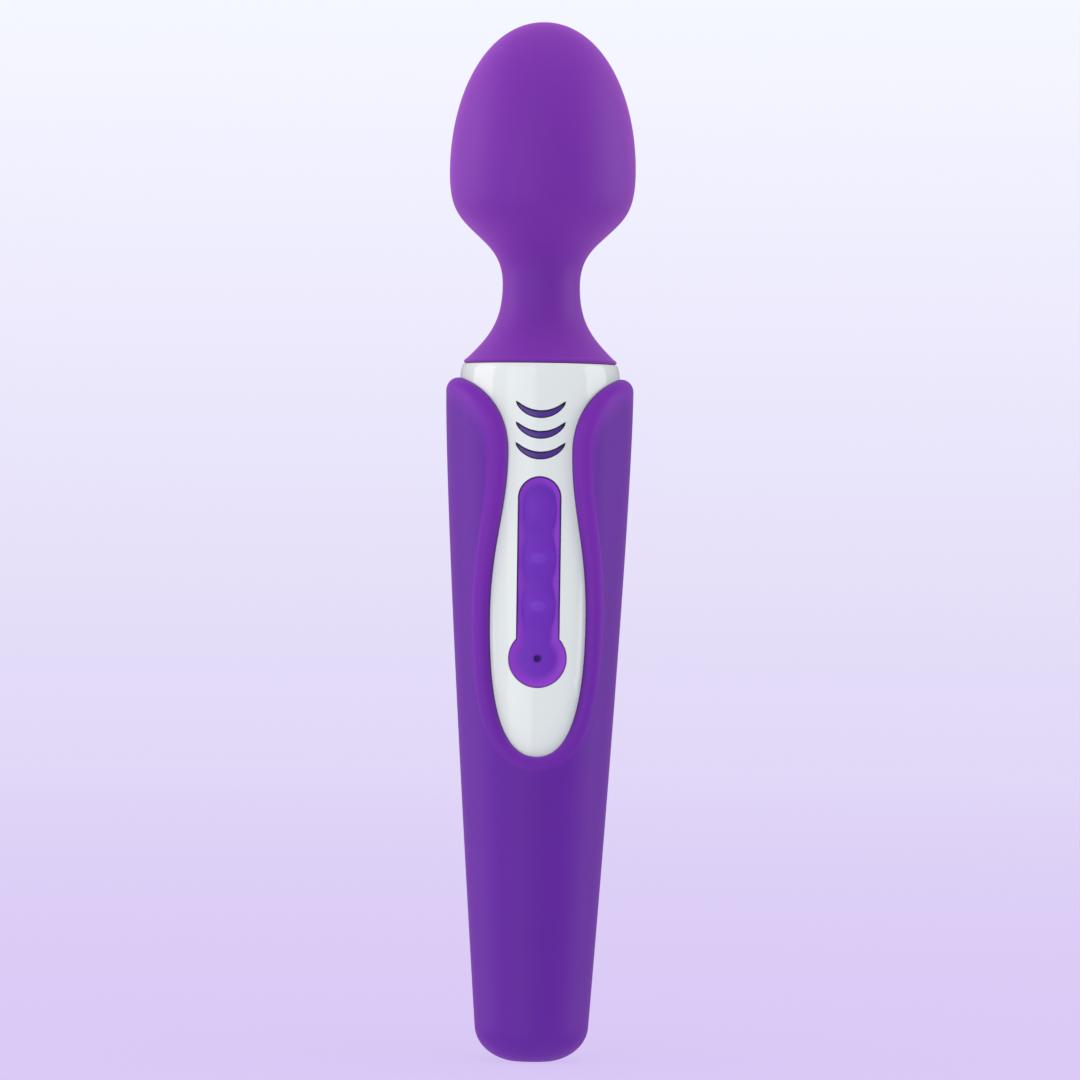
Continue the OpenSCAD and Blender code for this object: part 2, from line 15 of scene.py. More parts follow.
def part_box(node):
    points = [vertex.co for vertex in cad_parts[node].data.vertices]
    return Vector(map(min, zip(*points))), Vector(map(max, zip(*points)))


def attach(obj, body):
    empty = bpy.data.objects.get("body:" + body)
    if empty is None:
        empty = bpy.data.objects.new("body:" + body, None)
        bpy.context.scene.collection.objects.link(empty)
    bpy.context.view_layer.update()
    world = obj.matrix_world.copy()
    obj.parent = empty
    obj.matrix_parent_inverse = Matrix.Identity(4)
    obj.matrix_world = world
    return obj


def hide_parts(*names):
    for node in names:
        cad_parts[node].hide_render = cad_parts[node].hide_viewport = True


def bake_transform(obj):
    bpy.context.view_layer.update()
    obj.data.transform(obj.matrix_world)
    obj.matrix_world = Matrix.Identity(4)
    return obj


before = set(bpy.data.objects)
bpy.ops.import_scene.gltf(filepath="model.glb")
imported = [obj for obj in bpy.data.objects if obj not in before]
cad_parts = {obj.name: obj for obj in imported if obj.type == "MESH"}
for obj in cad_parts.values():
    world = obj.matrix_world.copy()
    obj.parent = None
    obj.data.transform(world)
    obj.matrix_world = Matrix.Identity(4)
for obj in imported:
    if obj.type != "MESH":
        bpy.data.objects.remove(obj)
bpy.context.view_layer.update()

bl_info = {
    "name": "Wand Massager",
    "version": (1, 0, 0),
    "blender": (4, 5, 0),
    "location": "View3D > Sidebar > Wand",
    "description": "Silicone, plastic and metal pieces of a handheld wand massager",
    "category": "Add Mesh",
}

MM = 0.001


# ---------- places, from the frame ----------


def box_mm(node):
    """Lowest and highest corner of a node, in millimetres."""
    low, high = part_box(node)
    return np.array(low) / MM, np.array(high) / MM


def middle_z(node):
    """Height of the middle of a node, in millimetres."""
    low, high = box_mm(node)
    return (low[2] + high[2]) / 2


KEYS = ("power", "plus", "minus")

# Head and neck, in millimetres
TOTAL_H = box_mm("head_skin")[1][2]
HEAD_R = box_mm("head_skin")[1][0]
HEAD_Z = TOTAL_H - 33.8  # where the head is widest
FLANK = np.array([14.7, HEAD_Z - 14.5])  # radius and height where neck turns into head
SKIN_T = 3.2
SKIN_FOOT_Z = box_mm("head_skin")[0][2]
SHELL_TOP_Z = box_mm("front_shell")[1][2]
SEAM_Z = SHELL_TOP_Z + 0.15  # seam between neck and collar
NECK_Z = SEAM_Z + 17.8  # where the neck is narrowest
NECK_R = 8.75
FLARE_R = 17.3  # foot of the neck
SPIGOT_R = 10.6  # the foot's part inside the collar
BEAD_R = 12.8  # the bead that holds the foot there
SPLIT_Z = 172.0  # ring where the neck's pieces meet
LOWER_BEND = (158.5, SPLIT_Z)
UPPER_BEND = (SPLIT_Z, 185.5)

# Handle, in millimetres
RIM_Z = box_mm("grip_sleeve")[1][2]
SLEEVE_R = box_mm("grip_sleeve")[1][0]
SLEEVE_WALL = 3.05
TAPER_TOP_Z = 150.0  # above this the handle is straight
OPENING_Z = 69.2  # lowest point of the front opening
OPENING_HALF = 10.95
WAIST_HALF = 7.25
PORT_Z = middle_z("jack_contact_tube")
KEY_Z = [middle_z(f"key_{name}") for name in KEYS]
BUTTON_Y = box_mm("switch_button_power")[0][1]
SNUG = 0.02  # how far the sleeve's inside lies off the shell


# ---------- curves and surfaces ----------


def bezier(handles, steps=48):
    """Points of a cubic curve at even parameters, as the Bernstein sum of its four handles."""
    t = np.linspace(0, 1, steps + 1)[:, None]
    p = np.asarray(handles, float)
    s = 1 - t
    return s**3 * p[0] + 3 * t * s**2 * p[1] + 3 * t**2 * s * p[2] + t**3 * p[3]


def joined(*curves):
    """Curves end to end, without the points that they share."""
    return np.vstack([curves[0]] + [c[1:] for c in curves[1:]])


def evenly(points, count):
    """The polyline again with its points at even distances along it."""
    along = np.append(0, np.cumsum(np.linalg.norm(np.diff(points, axis=0), axis=1)))
    wanted = np.linspace(0, along[-1], count)
    return np.column_stack([np.interp(wanted, along, c) for c in points.T])


def shifted(points, distance):
    """The plane curve moved to its left by a distance, along its own normals."""
    tangent = np.gradient(points, axis=0)
    tangent /= np.linalg.norm(tangent, axis=1)[:, None]
    return points + distance * np.column_stack([-tangent[:, 1], tangent[:, 0]])


def catmull_rom(points, steps):
    """Smooth path through points: on each stretch, the cubic whose slopes at both ends are half
    the chord between the neighbours."""
    p = np.asarray(points, float)
    p = np.vstack([p[:1], p, p[-1:]])
    t = (np.arange(steps) / steps)[None, :, None]
    a, b, c, d = (p[i : len(p) - 3 + i, None, :] for i in range(4))
    cubic = 2 * b + (c - a) * t + (2 * a - 5 * b + 4 * c - d) * t**2
    cubic = 0.5 * (cubic + (3 * b - a - 3 * c + d) * t**3)
    return np.vstack([cubic.reshape(-1, 3), p[-1:]])


def around(angle, radius, z):
    """Points at an angle from the front, -Y, turning to +X, at a radius and a height."""
    return np.stack([radius * np.sin(angle), -radius * np.cos(angle), z + 0 * angle], -1)


def grid_faces(rows, columns, wrap_rows=False):
    """Quads between neighbouring rows of a grid whose columns close on themselves."""
    i = np.arange(rows if wrap_rows else rows - 1)[:, None]
    j = np.arange(columns)[None, :]
    i2, j2 = (i + 1) % rows, (j + 1) % columns
    quads = np.stack([i * columns + j, i * columns + j2, i2 * columns + j2, i2 * columns + j], -1)
    return quads.reshape(-1, 4)


def signed_volume(points, quads, fans):
    """Sum of the tetrahedra from the origin to each face: positive if the faces point out."""
    triangles = np.vstack([quads[:, [0, 1, 2]], quads[:, [0, 2, 3]]] + fans)
    a, b, c = (points[triangles[:, k]] for k in range(3))
    return float(np.einsum("ij,ij->i", a, np.cross(b, c)).sum())


def closed_surface(name, grid, poles=(None, None), wrap_rows=False, sharp=40, marks=None):
    """Closed mesh from a grid of points, rows x columns x 3 in millimetres, whose columns close
    on themselves. A pole is the point where the first or the last row closes in a fan, and
    wrap_rows joins the last row to the first instead. Marks are point attributes by name, each
    a value for every point of the grid."""
    rows, columns = grid.shape[:2]
    points = grid.reshape(-1, 3)
    quads = grid_faces(rows, columns, wrap_rows)
    j = np.arange(columns)
    fans = []
    for pole, row in zip(poles, (0, rows - 1)):
        if pole is None:
            continue
        here, after = row * columns + j, row * columns + (j + 1) % columns
        tip = np.full(columns, len(points))
        fans.append(np.stack([tip, after, here] if row == 0 else [tip, here, after], -1))
        points = np.vstack([points, pole])
    if signed_volume(points, quads, fans) < 0:
        quads = quads[:, ::-1]
        fans = [f[:, ::-1] for f in fans]
    mesh = bpy.data.meshes.new(name)
    faces = quads.tolist()
    for f in fans:
        faces += f.tolist()
    mesh.from_pydata((points * MM).tolist(), [], faces)
    mesh.shade_smooth()
    mesh.set_sharp_from_angle(angle=math.radians(sharp))
    mesh.validate()
    for mark, values in (marks or {}).items():
        held = np.zeros(len(points), np.float32)
        held[: rows * columns] = np.broadcast_to(values, (rows, columns)).ravel()
        mesh.attributes.new(mark, "FLOAT", "POINT").data.foreach_set("value", held)
    piece = bpy.data.objects.new(name, mesh)
    bpy.context.scene.collection.objects.link(piece)
    return piece


def revolved(name, profile, columns, wrap_rows=False, sharp=40):
    """Surface of revolution about Z of a profile of [radius, height]. An end on the axis becomes
    a pole."""
    profile = np.asarray(profile, float)
    poles = [None, None]
    rows = profile
    if not wrap_rows:
        if profile[0, 0] < 1e-6:
            poles[0], rows = (0, 0, profile[0, 1]), rows[1:]
        if profile[-1, 0] < 1e-6:
            poles[1], rows = (0, 0, profile[-1, 1]), rows[:-1]
    angle = np.linspace(0, 2 * np.pi, columns, endpoint=False)
    grid = around(angle[None, :], rows[:, :1], rows[:, 1:])
    return closed_surface(name, grid, poles, wrap_rows, sharp)


def tube(name, path, radius, square_to, sides=12):
    """Round tube about a path. Each ring stands across the path: the ring's first axis is the
    cross product of the path's direction and a fixed one, and its second axis the cross product
    of the direction and the first axis. Both ends close in a fan."""
    ahead = np.gradient(path, axis=0)
    ahead /= np.linalg.norm(ahead, axis=1)[:, None]
    first = np.cross(ahead, square_to)
    first /= np.linalg.norm(first, axis=1)[:, None]
    second = np.cross(ahead, first)[:, None, :]
    first = first[:, None, :]
    turn = np.linspace(0, 2 * np.pi, sides, endpoint=False)[None, :, None]
    grid = path[:, None, :] + radius * (np.cos(turn) * first + np.sin(turn) * second)
    return closed_surface(name, grid, (path[0], path[-1]))


# ---------- outlines of the two skins and of the shell ----------


def neck_outline():
    """Neck from its foot at the seam up to the head's flank, as [radius, height]: one cubic
    curve to its narrowest ring and one on to the flank."""
    return joined(
        bezier([(FLARE_R, SEAM_Z + 0.5), (11.8, SEAM_Z + 5.8), (NECK_R, NECK_Z - 8.5),
                (NECK_R, NECK_Z)]),
        bezier([(NECK_R, NECK_Z), (NECK_R, NECK_Z + 6.2), FLANK - (2.9, 2.7), FLANK]),
    )


def head_outline():
    """Head from its flank up to the pole, as [radius, height]: one cubic curve to its widest
    ring and one on to the pole."""
    return joined(
        bezier([FLANK, FLANK + (4, 3.8), (HEAD_R, HEAD_Z - 8.8), (HEAD_R, HEAD_Z)]),
        bezier([(HEAD_R, HEAD_Z), (HEAD_R, HEAD_Z + 18.1), (12.7, TOTAL_H), (0, TOTAL_H)]),
    )


def sleeve_outline():
    """Outside of the sleeve as [radius, height]: a rounded tail from the edge of its flat, a
    long cubic taper, and straight from there to above the rim."""
    return joined(
        bezier([(5, 0), (9.6, 0.9), (12.55, 4), (12.85, 7.5)]),
        bezier([(12.85, 7.5), (16.3, 55), (20.9, 125), (SLEEVE_R, TAPER_TOP_Z)], 120),
        np.array([(SLEEVE_R, TAPER_TOP_Z), (SLEEVE_R, TAPER_TOP_Z + 10)]),
    )


def shell_outline():
    """Outside of the plastic shell as [radius, height]: its floor, a long cubic taper inside the
    sleeve, and the collar up to its rim."""
    return joined(
        np.array([(6.6, 2.8), (9.2, 4.1), (10.1, 6), (10.4, 8)]),
        bezier([(10.4, 8), (13.7, 55), (17.8, 125), (18.15, TAPER_TOP_Z)], 120),
        bezier([(18.15, TAPER_TOP_Z), (18.15, 155), (18, SHELL_TOP_Z - 0.9),
                (FLARE_R + 0.05, SHELL_TOP_Z)]),
    )


def radius_at(outline, z):
    """Radius of an outline at a height."""
    return np.interp(z, outline[:, 1], outline[:, 0])


SLEEVE = sleeve_outline()
SHELL = shell_outline()


# ---------- settings ----------


def linear(hex_colour):
    """Linear red, green and blue of an sRGB colour such as "#7535a8"."""
    srgb = np.array([int(hex_colour[i : i + 2], 16) for i in (1, 3, 5)]) / 255
    return tuple(np.where(srgb <= 0.04045, srgb / 12.92, ((srgb + 0.055) / 1.055) ** 2.4))


def colour_property(name, description, hex_colour):
    """A colour that the sidebar shows as a swatch."""
    return FloatVectorProperty(
        name=name, description=description, default=linear(hex_colour), subtype="COLOR",
        size=3, min=0, max=1,
    )


def length_property(name, description, value_mm):
    """A length, stored in metres."""
    return FloatProperty(
        name=name, description=description, default=value_mm * MM, min=0, unit="LENGTH",
        precision=5,
    )


class WandColours(bpy.types.PropertyGroup):
    """Colours that a user of the wand would change."""

    # Head and grip are one silicone in two colours: the head's is lighter and the grip's darker,
    # as painted light and shade from the lamps above.
    head: colour_property("Head", "Silicone of the head and neck", "#641e94")
    grip: colour_property("Grip", "Silicone of the handle", "#55178d")
    keypad: colour_property("Keypad", "Deeper silicone of the keys and the port", "#6424a9")
    panel: colour_property("Panel", "Glossy plastic of the panel and collar", "#d6dfd8")
    lens: colour_property("Lens", "Smoky plastic behind the crescents", "#45277f")
    floor: colour_property("Floor", "Floor and backdrop near the wand", "#d6c5f2")
    backdrop: colour_property("Backdrop", "Backdrop higher up", "#f5f8ff")


class WandShape(bpy.types.PropertyGroup):
    """Sizes of the silicone details."""

    lip_width: length_property("Lip width", "Width of the roll round the front opening", 3.0)
    lip_bulge: FloatProperty(
        name="Lip bulge", description="Angle by which the roll curls back under its edge",
        default=math.radians(8), min=0, max=math.radians(60), subtype="ANGLE",
    )
    trough_depth: length_property("Trough depth", "Depth of the trough that holds the keys", 1.4)
    trough_wall: length_property("Trough wall", "Width of the trough's sloping wall", 2.3)
    dish_wall: length_property("Dish wall", "Width of the sloping wall round the port", 2.9)
    key_dome: length_property("Key dome", "Radius at which a key meets the trough's floor", 4.9)


def colours():
    """The colour settings of the scene."""
    return bpy.context.scene.wand_colours


def shape_mm():
    """The shape settings in millimetres, and the angle in radians."""
    s = bpy.context.scene.wand_shape
    names = ("lip_width", "trough_depth", "trough_wall", "dish_wall", "key_dome")
    values = {n: getattr(s, n) / MM for n in names}
    values["lip_bulge"] = s.lip_bulge
    return values


# ---------- materials ----------


def add_node(material, kind, inputs=None, **settings):
    """Adds a shader node with its settings. An input's value is a number, a colour, or the
    (node, output) that it is linked from."""
    made = material.node_tree.nodes.new(kind)
    for name, value in settings.items():
        setattr(made, name, value)
    for name, value in (inputs or {}).items():
        if isinstance(value, tuple) and isinstance(value[0], bpy.types.Node):
            material.node_tree.links.new(value[0].outputs[value[1]], made.inputs[name])
        else:
            made.inputs[name].default_value = value
    return made


def plain(name, colour, roughness, **sockets):
    """Material whose shader holds uniform values. Returns the material and its shader."""
    material = bpy.data.materials.new(name)
    material.use_nodes = True
    shader = material.node_tree.nodes["Principled BSDF"]
    shader.inputs["Base Color"].default_value = (*colour, 1)
    shader.inputs["Roughness"].default_value = roughness
    for socket, value in sockets.items():
        shader.inputs[socket.replace("_", " ")].default_value = value
    return material, shader


def noise_mm(material, size, detail=2.0, stretch=(1, 1, 1)):
    """Noise whose blotches are about size millimetres across, on Object coordinates."""
    place = add_node(material, "ShaderNodeTexCoord")
    turn = add_node(material, "ShaderNodeMapping", {"Vector": (place, "Object"),
                                                    "Scale": stretch})
    return add_node(
        material, "ShaderNodeTexNoise",
        {"Vector": (turn, "Vector"), "Scale": 1 / (size * MM), "Detail": detail},
    )


def vary(material, shader, pattern, colour, amount):
    """Colour that wanders by amount either side of its value along a pattern."""
    low = tuple(c * (1 - amount) for c in colour)
    high = tuple(min(c * (1 + amount), 1) for c in colour)
    mixed = add_node(
        material, "ShaderNodeMix",
        {"Factor": (pattern, "Fac"), "A": (*low, 1), "B": (*high, 1)}, data_type="RGBA",
    )
    material.node_tree.links.new(mixed.outputs["Result"], shader.inputs["Base Color"])


def tint_where(material, shader, mark, colour):
    """Colour that the surface turns to where a point attribute marks it."""
    before = shader.inputs["Base Color"].links[0].from_socket
    where = add_node(material, "ShaderNodeAttribute", attribute_name=mark)
    mixed = add_node(material, "ShaderNodeMix", {"Factor": (where, "Fac"), "B": (*colour, 1)},
                     data_type="RGBA")
    material.node_tree.links.new(before, mixed.inputs["A"])
    material.node_tree.links.new(mixed.outputs["Result"], shader.inputs["Base Color"])


def roughen(material, shader, pattern, low, high):
    """Roughness between low and high along a pattern."""
    ranged = add_node(
        material, "ShaderNodeMapRange",
        {"Value": (pattern, "Fac"), "From Min": 0.3, "From Max": 0.7, "To Min": low,
         "To Max": high},
    )
    material.node_tree.links.new(ranged.outputs["Result"], shader.inputs["Roughness"])


def emboss(material, shader, pattern, height_mm, output="Fac"):
    """Bump whose full height is height_mm along a pattern."""
    bump = add_node(
        material, "ShaderNodeBump",
        {"Height": (pattern, output), "Distance": height_mm * MM, "Strength": 1.0},
    )
    material.node_tree.links.new(bump.outputs["Normal"], shader.inputs["Normal"])
    return bump


def silicone(name, colour, sheen, sheen_tint, roughness):
    """Liquid silicone rubber moulded in a spark-eroded tool: a velvety matt surface with a soft
    bloom at grazing angles. The tool's 0.25 mm texture is drawn at 0.5 mm so that it shows."""
    material, shader = plain(
        name, colour, roughness, IOR=1.43, Sheen_Weight=sheen, Sheen_Roughness=0.6,
        Sheen_Tint=(*sheen_tint, 1), Specular_IOR_Level=0.3,
    )
    vary(material, shader, noise_mm(material, 22, 3), colour, 0.05)
    grain = noise_mm(material, 0.5, 2)
    roughen(material, shader, grain, roughness - 0.05, roughness + 0.06)
    emboss(material, shader, grain, 0.006)
    return material, shader


def head_silicone():
    """Skin of the head and neck, in the grip's silicone made lighter as painted light from above.
    """
    tint = linear("#d076e8")
    return silicone("silicone_head", tuple(colours().head), 0.66, tint, 0.5)[0]


def grip_silicone():
    """Skin of the handle. Its lip is painted lighter and rosier, as painted sheen and light
    bounced from the white panel, and the foot of the lip is painted dark where it closes on the
    shell, as painted shade."""
    tint = linear("#be6ae4")
    # The grip's colour is the head's silicone made darker: painted shade.
    material, shader = silicone("silicone_grip", tuple(colours().grip), 0.34, tint, 0.5)
    tint_where(material, shader, "lip", linear("#691d9b"))
    tint_where(material, shader, "foot", linear("#34125a"))
    return material


def keypad_silicone():
    """Skin of the keys, with painted light: painted sheen makes the sloping walls rosier, a
    painted highlight makes the pips paler, and painted shade darkens the gap round the pad and
    the port's hole."""
    tint = linear("#bc7ae8")
    material, shader = silicone("silicone_keypad", tuple(colours().keypad), 0.28, tint, 0.42)
    tint_where(material, shader, "wall", linear("#8a38bc"))
    tint_where(material, shader, "pip", linear("#6c33b3"))
    tint_where(material, shader, "hollow", linear("#22065a"))
    return material


def gloss_abs():
    """ABS moulded in a polished tool: white, glossy, with the faint waviness of a thin wall."""
    colour = tuple(colours().panel)
    material, shader = plain("abs_gloss_white", colour, 0.08, IOR=1.53)
    vary(material, shader, noise_mm(material, 30, 2), colour, 0.015)
    emboss(material, shader, noise_mm(material, 8, 1), 0.002)
    return material


def smoky_lens():
    """Tinted acrylic, dark until the lamps behind it light: deep violet with a clear gloss. Near
    its rim and tips it is painted nearly black, as painted shade cast by the slot's walls."""
    colour = tuple(colours().lens)
    material, shader = plain("acrylic_smoky_violet", colour, 0.25, IOR=1.49)
    vary(material, shader, noise_mm(material, 3, 2), colour, 0.12)
    tint_where(material, shader, "rim", linear("#120d20"))
    return material


def moulded(name, hex_colour, roughness, size=0.6, height=0.01):
    """Injection-moulded plastic with a fine eroded grain."""
    colour = linear(hex_colour)
    material, shader = plain(name, colour, roughness, IOR=1.5)
    grain = noise_mm(material, size, 3)
    vary(material, shader, grain, colour, 0.08)
    roughen(material, shader, grain, roughness - 0.06, roughness + 0.08)
    emboss(material, shader, grain, height)
    return material


def drawn_metal(name, hex_colour, roughness, stretch=(1, 1, 0.06), size=0.25):
    """Metal with the fine lines that drawing or turning leaves along one direction."""
    colour = linear(hex_colour)
    material, shader = plain(name, colour, roughness, Metallic=1.0)
    lines = noise_mm(material, size, 4, stretch)
    vary(material, shader, lines, colour, 0.1)
    roughen(material, shader, lines, roughness - 0.08, roughness + 0.12)
    emboss(material, shader, lines, 0.004)
    return material


def banded(name, hex_colour, metallic, roughness, pitch, height, axis="Z"):
    """Stacked sheet or wound wire: straight bands with a pitch in millimetres along an axis."""
    colour = linear(hex_colour)
    material, shader = plain(name, colour, roughness, Metallic=metallic)
    place = add_node(material, "ShaderNodeTexCoord")
    bands = add_node(
        material, "ShaderNodeTexWave",
        {"Vector": (place, "Object"), "Scale": math.pi / 10 / (pitch * MM), "Distortion": 0.3},
        wave_type="BANDS", bands_direction=axis, wave_profile="SIN",
    )
    vary(material, shader, bands, colour, 0.25)
    emboss(material, shader, bands, height)
    return material


def solder_mask():
    """Glass-epoxy board under green solder mask: gloss, with the tracks as a raised pattern of
    fine lines 1.3 mm apart."""
    colour = linear("#1f5c38")
    material, shader = plain("fr4_green_mask", colour, 0.3, IOR=1.52)
    place = add_node(material, "ShaderNodeTexCoord")
    turn = add_node(material, "ShaderNodeMapping", {
        "Vector": (place, "Object"), "Rotation": (math.pi / 2, 0, 0)})
    tracks = add_node(
        material, "ShaderNodeTexBrick",
        {"Vector": (turn, "Vector"), "Scale": 1 / (5.2 * MM), "Mortar Size": 0.03,
         "Mortar Smooth": 0.3, "Color1": (0, 0, 0, 1), "Color2": (0.15, 0.15, 0.15, 1),
         "Mortar": (1, 1, 1, 1)},
    )
    mixed = add_node(
        material, "ShaderNodeMix",
        {"Factor": (tracks, "Color"), "A": (*colour, 1), "B": (*linear("#4c8f5e"), 1)},
        data_type="RGBA",
    )
    material.node_tree.links.new(mixed.outputs["Result"], shader.inputs["Base Color"])
    emboss(material, shader, tracks, 0.03, "Color")
    return material


def foam(name, hex_colour):
    """Closed-cell foam: matt, with cells about half a millimetre across."""
    colour = linear(hex_colour)
    material, shader = plain(name, colour, 0.9)
    place = add_node(material, "ShaderNodeTexCoord")
    cells = add_node(
        material, "ShaderNodeTexVoronoi",
        {"Vector": (place, "Object"), "Scale": 1 / (0.5 * MM)},
    )
    emboss(material, shader, cells, 0.08, "Distance")
    vary(material, shader, noise_mm(material, 1.2, 3), colour, 0.2)
    return material


def shrink_film():
    """PVC film shrunk on the cell: blue and glossy, with shallow ripples along it."""
    colour = linear("#3366a8")
    material, shader = plain("pvc_film_blue", colour, 0.22, IOR=1.54)
    ripples = noise_mm(material, 3, 2, (1, 1, 0.2))
    vary(material, shader, ripples, colour, 0.08)
    emboss(material, shader, ripples, 0.03)
    return material


# ---------- operators: silicone ----------


def dress(piece, material, *nodes, slot=None):
    """Gives a piece its material and hides the CAD nodes that it stands for. The slot is not
    used.
    """
    piece.data.materials.clear()
    piece.data.materials.append(material)
    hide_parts(*nodes)
    return piece


class WAND_OT_head_skin(bpy.types.Operator):
    """Silicone skin of the head and neck, in two lengths that meet at one ring of the neck. The
    outside is turned from the neck's and the head's outline, and the head's inside from the
    same outline moved in by the skin's thickness"""

    bl_idname = "wand.head_skin"
    bl_label = "Head and neck skin"

    def execute(self, context):
        material = head_silicone()
        outer = evenly(joined(neck_outline(), head_outline()), 360)
        # A fine rib just above the foot: a bell curve in height, added to the radius.
        rib = np.exp(-(((outer[:, 1] - SEAM_Z - 0.85) / 0.25) ** 2))
        outer[:, 0] += 0.13 * rib * (outer[:, 1] < SEAM_Z + 4)
        inner = shifted(outer, SKIN_T)
        inner = inner[(inner[:, 1] > NECK_Z + 8.8) & (inner[:, 0] > 0.3)][::4]
        split_r = radius_at(outer[outer[:, 1] < NECK_Z + 5], SPLIT_Z)
        below = outer[outer[:, 1] < SPLIT_Z - 0.02]
        above = outer[outer[:, 1] > SPLIT_Z + 0.02]
        foot = [(6.1, SKIN_FOOT_Z), (BEAD_R, SKIN_FOOT_Z), (BEAD_R, SKIN_FOOT_Z + 2.15),
                (SPIGOT_R, SKIN_FOOT_Z + 2.15), (SPIGOT_R, SEAM_Z), (FLARE_R - 0.45, SEAM_Z),
                (FLARE_R - 0.12, SEAM_Z + 0.14)]
        bore = evenly(np.array([(6.05, SPLIT_Z), (6.1, SKIN_FOOT_Z)]), 24)[:-1]
        lower = revolved(
            "neck_skin",
            np.vstack([foot, below, [(split_r, SPLIT_Z)], bore]), 256, wrap_rows=True,
        )
        dress(lower, material, "head_skin", slot="purple_silicone")
        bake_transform(lower)
        inside = [(0, TOTAL_H - SKIN_T), *inner[::-1], (6, NECK_Z + 6.5), (6.05, SPLIT_Z)]
        upper = revolved(
            "head_skin_soft",
            np.vstack([above[::-1], [(split_r, SPLIT_Z)], inside[::-1]]), 256,
        )
        dress(upper, material, "head_skin", slot="purple_silicone")
        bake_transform(upper)
        return {"FINISHED"}


def sleeve_edge(overhang, count):
    """Right half of the sleeve's edge as arc lengths from the front and heights, evenly spaced,
    and the radius that the arcs are taken at: up the side of the opening, over the horn and back
    along the level rim. A point of the front view at x stands at the angle whose sine is x over
    the lip's radius."""
    top_r = radius_at(SHELL, RIM_Z) + overhang
    front = joined(
        bezier([(0, OPENING_Z), (7.6, OPENING_Z), (OPENING_HALF, 80), (OPENING_HALF, 100)]),
        bezier([(OPENING_HALF, 100), (OPENING_HALF, 117), (WAIST_HALF, 124),
                (WAIST_HALF, 137.5)]),
        bezier([(WAIST_HALF, 137.5), (WAIST_HALF, 146.3), (12.3, 152), (top_r, RIM_Z)], 200),
    )
    lip_r = radius_at(SHELL, front[:, 1]) + overhang
    angle = np.arcsin(np.clip(front[:, 0] / lip_r, 0, 1))
    back = np.linspace(np.pi / 2, np.pi, 60)
    rim = np.column_stack([back, np.full_like(back, RIM_Z)])
    both = joined(np.column_stack([angle, front[:, 1]]), rim)
    both[:, 0] *= top_r
    return evenly(both, count), top_r


class WAND_OT_grip_sleeve(bpy.types.Operator):
    """Silicone sleeve of the handle, with a rolled lip round its front opening and its horns.
    Rows of the grid run from the shell's floor up inside, over the lip and down outside"""

    bl_idname = "wand.grip_sleeve"
    bl_label = "Grip sleeve"

    def execute(self, context):
        s = shape_mm()
        curl = -s["lip_bulge"]
        overhang = SLEEVE_WALL * -math.sin(curl) / (1 - math.sin(curl))
        edge, scale = sleeve_edge(overhang, 220)
        ahead = np.gradient(edge, axis=0)
        ahead[[0, -1], 1] = 0
        ahead /= np.linalg.norm(ahead, axis=1)[:, None]
        away = np.column_stack([ahead[:, 1], -ahead[:, 0]])  # off the edge, over the sleeve

        # Lip: a roll that starts under its own edge and ends level with the sleeve's outside.
        turn = np.linspace(curl, math.pi / 2, 18)[:, None]
        back = s["lip_width"] * (1 - np.cos(turn))
        rise = (np.sin(turn) - math.sin(curl)) / (1 - math.sin(curl))
        lip_a = edge[:, 0] + back * away[:, 0]
        lip_z = edge[:, 1] + back * away[:, 1]
        wall = radius_at(SLEEVE, lip_z) - radius_at(SHELL, lip_z)
        lip_r = radius_at(SHELL, lip_z) + SNUG + rise * wall

        # Body: from the lip's last row down to a level ring, then down to the tail.
        ring_z = 56.0
        ring_a = np.pi * scale * np.linspace(0, 1, edge.shape[0]) ** 0.8

        def body(steps):
            """Rows from the lip to the ring, whose angles even out faster than they fall."""
            t = np.linspace(0, 1, steps + 1)[1:, None]
            a = lip_a[-1] + (ring_a - lip_a[-1]) * (1 - (1 - t) ** 1.6)
            z = lip_z[-1] + (ring_z - lip_z[-1]) * t
            return a, z

        def tail(outline, steps):
            """Rows from the ring down an outline."""
            part = evenly(outline[outline[:, 1] < ring_z][::-1], steps)
            return ring_a + 0 * part[:, :1], part[:, 1:] + 0 * ring_a, part[:, :1] + 0 * ring_a

        out_a, out_z = body(64)
        low_a, low_z, low_r = tail(SLEEVE, 70)
        in_a, in_z = body(24)
        base_a, base_z, base_r = tail(SHELL, 20)
        parts = [
            (base_a[::-1], base_z[::-1], base_r[::-1] + SNUG),
            (in_a[:-1][::-1], in_z[:-1][::-1], radius_at(SHELL, in_z[:-1][::-1]) + SNUG),
            (lip_a, lip_z, lip_r),
            (out_a[:-1], out_z[:-1], radius_at(SLEEVE, out_z[:-1])),
            (low_a, low_z, low_r),
        ]
        angle, z, radius = (np.vstack([p[k] for p in parts]) for k in range(3))
        angle = np.hstack([angle, -angle[:, -2:0:-1]]) / scale
        z, radius = (np.hstack([v, v[:, -2:0:-1]]) for v in (z, radius))
        first = parts[0][0].shape[0] + parts[1][0].shape[0]
        rows = np.arange(z.shape[0]) - first  # rows past the lip's first

        # Marks: the lip's painted sheen is strong round the horns and weaker low on the opening.
        lip = (eased((turn.size + 1 - rows) / 2) * (rows >= 0))[:, None]
        lip = lip * (0.45 + 0.55 * eased((z - OPENING_Z) / 50))
        # The foot mark is painted shade at the foot of the lip, where it closes on the shell.
        foot = (eased(1 - rows / 4) * (rows > -3))[:, None]
        sleeve = closed_surface(
            "grip_sleeve_soft", around(angle, radius, z), ((0, 0, SHELL[0, 1]), (0, 0, 0)),
            sharp=60, marks={"lip": lip, "foot": foot},
        )
        dress(sleeve, grip_silicone(), "grip_sleeve", slot="purple_silicone")
        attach(sleeve, "handle")
        return {"FINISHED"}


# ---------- operators: keypad ----------

